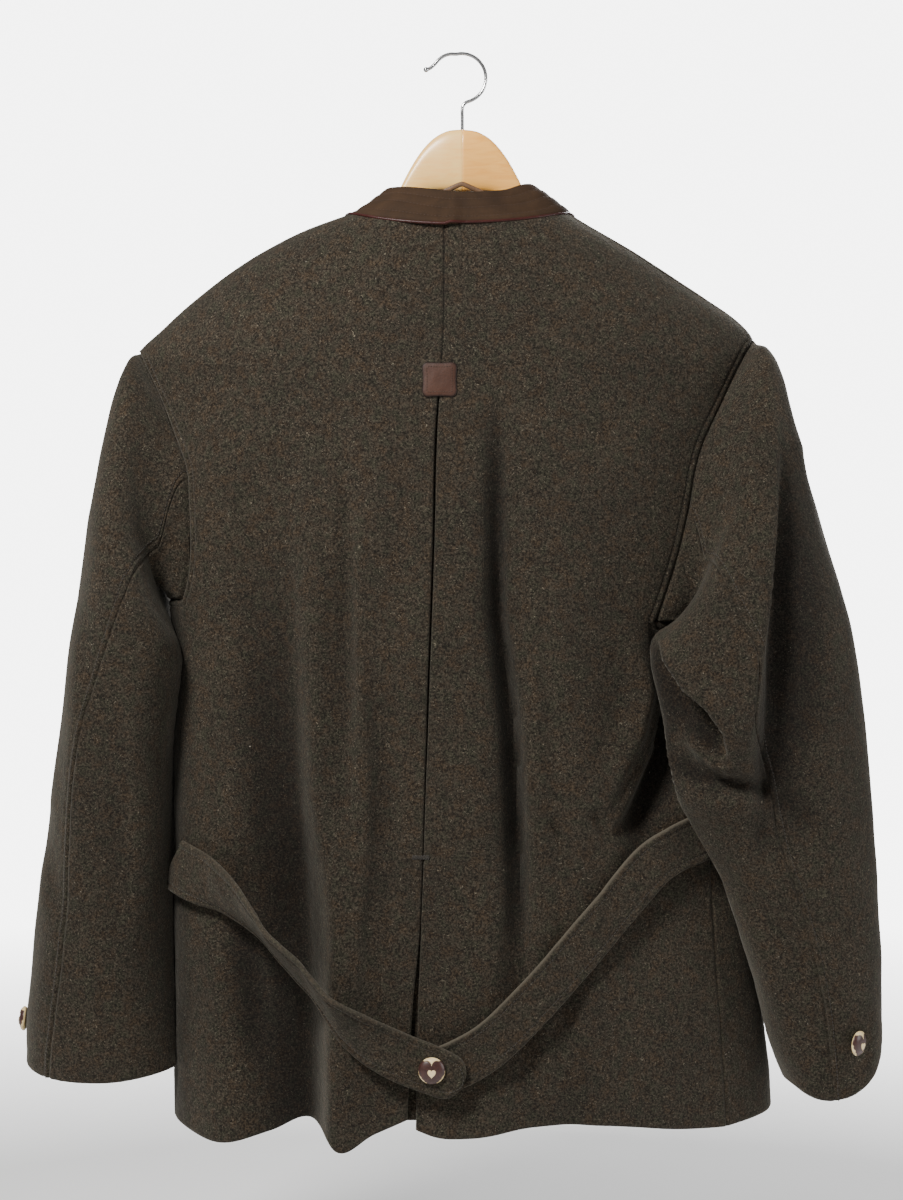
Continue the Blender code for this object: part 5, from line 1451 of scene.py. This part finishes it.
seam_lines = [armhole_line(part) for part in (back_left, back_right, front_left, front_right)]
seam_lines.append(front_right.outer[right.pit_row + STITCH_STEP, MAIN_COLUMNS - 1 :])
stitched("armhole_stitches", seam_lines, thread)
stitched("sleeve_stitches", [sleeve_left.stitches, sleeve_right.stitches], thread)
stitched("belt_stitches", [belt_left.stitches, belt_right.stitches], thread)
stitched("front_edge_stitches", [front_left.outer[:, FRONT_EDGE_COLUMN]], thread)
quilted = [collar_outer[int(np.argmin(np.abs(height[:, 0] - share)))] for share in COLLAR_QUILTING]
collar_thread = leather_material("collar_thread", (0.03, 0.015, 0.009), (0.05, 0.028, 0.018),
                                 900.0, 0.6, 0.1)
stitched("collar_stitches", quilted, collar_thread)
inner = patch_outer[PATCH_STITCH:-PATCH_STITCH, PATCH_STITCH:-PATCH_STITCH]
patch_ring = np.concatenate([inner[0], inner[:, -1], inner[-1, ::-1], inner[::-1, 0]])
stitched("patch_stitches", [patch_ring], collar_thread, Spacing=0.0022, Length=0.0008)

TACK_X, TACK_Z, TACK_HALF = 31.5, -681.5, 6.5
tack_x = np.linspace(TACK_X - TACK_HALF, TACK_X + TACK_HALF, 14)
bars = []
for shift in (-0.5, 0.0, 0.5):
    bars.append(body(angle_at(tack_x, TACK_Z + shift), np.full(len(tack_x), TACK_Z + shift), 0.5))
wraps = []
for x in np.linspace(TACK_X - TACK_HALF, TACK_X + TACK_HALF, 16):
    rise = np.array([-1.1, 0.0, 1.1])
    wraps.append(body(angle_at(np.full(3, x), TACK_Z + rise), TACK_Z + rise, 0.9 - 0.4 * np.abs(rise)))
stitched("bar_tack", bars + wraps, thread, Spacing=0.0011, Length=0.0009, Thickness=0.0003)

# ---------------------------------------------------------------------------------------------
# The room: a pale floor well below the hem that fades into a white surround, soft light from
# high up on the jacket's left, behind its back, and the camera straight behind the back.
# ---------------------------------------------------------------------------------------------

# In metres
FLOOR_Z, FLOOR_RADIUS, FLOOR_SIDES = -1.12, 3.2, 96
FADE_FROM, FADE_TO = 1.4, 3.0
SURROUND_LIGHT, SURROUND_SEEN = 0.26, 6.0  # what it sheds on things, and how bright it looks itself
CAMERA_AT = (0.006, 2.0, -0.4684)
HALF_VIEW = 0.516  # half the height that the camera sees at the origin's distance

floor_mesh = bpy.data.meshes.new("floor")
ring_turn = np.linspace(0, math.tau, FLOOR_SIDES, endpoint=False)
floor_points = [(FLOOR_RADIUS * math.cos(t), FLOOR_RADIUS * math.sin(t), FLOOR_Z) for t in ring_turn]
floor_mesh.from_pydata(floor_points, [], [list(range(FLOOR_SIDES))])
floor = put("floor", floor_mesh)
pale, tree, shader, where = new_material("pale_floor", Roughness=0.8)
far = add_node(tree, "ShaderNodeVectorMath", {0: where}, settings={"operation": "LENGTH"}).outputs["Value"]
fade = add_node(tree, "ShaderNodeMapRange", {"Value": far}, From_Min=FADE_FROM, From_Max=FADE_TO,
                To_Min=1.0, To_Max=0.0).outputs["Result"]
tree.links.new(fade, shader.inputs["Alpha"])
tone = ramp(tree, noise(tree, where, 3.0, 2.0), (0.3, (0.86, 0.86, 0.86)), (0.7, (0.9, 0.9, 0.9)))
tree.links.new(tone, shader.inputs["Base Color"])
floor_mesh.materials.append(pale)

world = bpy.data.worlds.new("white_surround")
world.use_nodes = True
bpy.context.scene.world = world
surround = world.node_tree.nodes["Background"]
surround.inputs["Color"].default_value = (1.0, 1.0, 1.0, 1)
lit = add_node(world.node_tree, "ShaderNodeLightPath").outputs["Is Camera Ray"]
bright = add_node(world.node_tree, "ShaderNodeMapRange", {"Value": lit}, To_Min=SURROUND_LIGHT,
                  To_Max=SURROUND_SEEN)
world.node_tree.links.new(bright.outputs["Result"], surround.inputs["Strength"])


def soft_light(name, place, target, size, power, colour=(1, 1, 1)):
    lamp = bpy.data.lights.new(name, "AREA")
    lamp.shape = "DISK"
    lamp.size, lamp.energy, lamp.color = size, power, colour
    obj = put(name, lamp)
    obj.location = place
    away = type(obj.location)(place) - type(obj.location)(target)
    obj.rotation_euler = away.to_track_quat("Z", "Y").to_euler()


soft_light("key", (0.85, 1.25, 0.75), (0, 0, -0.4), 0.5, 60, (1.0, 0.985, 0.96))
soft_light("right_fill", (-1.9, 0.5, -0.2), (0, 0, -0.6), 1.2, 17)
soft_light("front", (-1.0, -1.9, 0.6), (0, 0, -0.45), 1.2, 52)

camera_data = bpy.data.cameras.new("camera")
camera_data.sensor_fit = "VERTICAL"
camera_data.angle = 2 * math.atan(HALF_VIEW / CAMERA_AT[1])
camera = put("camera", camera_data)
camera.location = CAMERA_AT
camera.rotation_euler = (math.radians(90), 0, math.radians(180))
bpy.context.scene.camera = camera
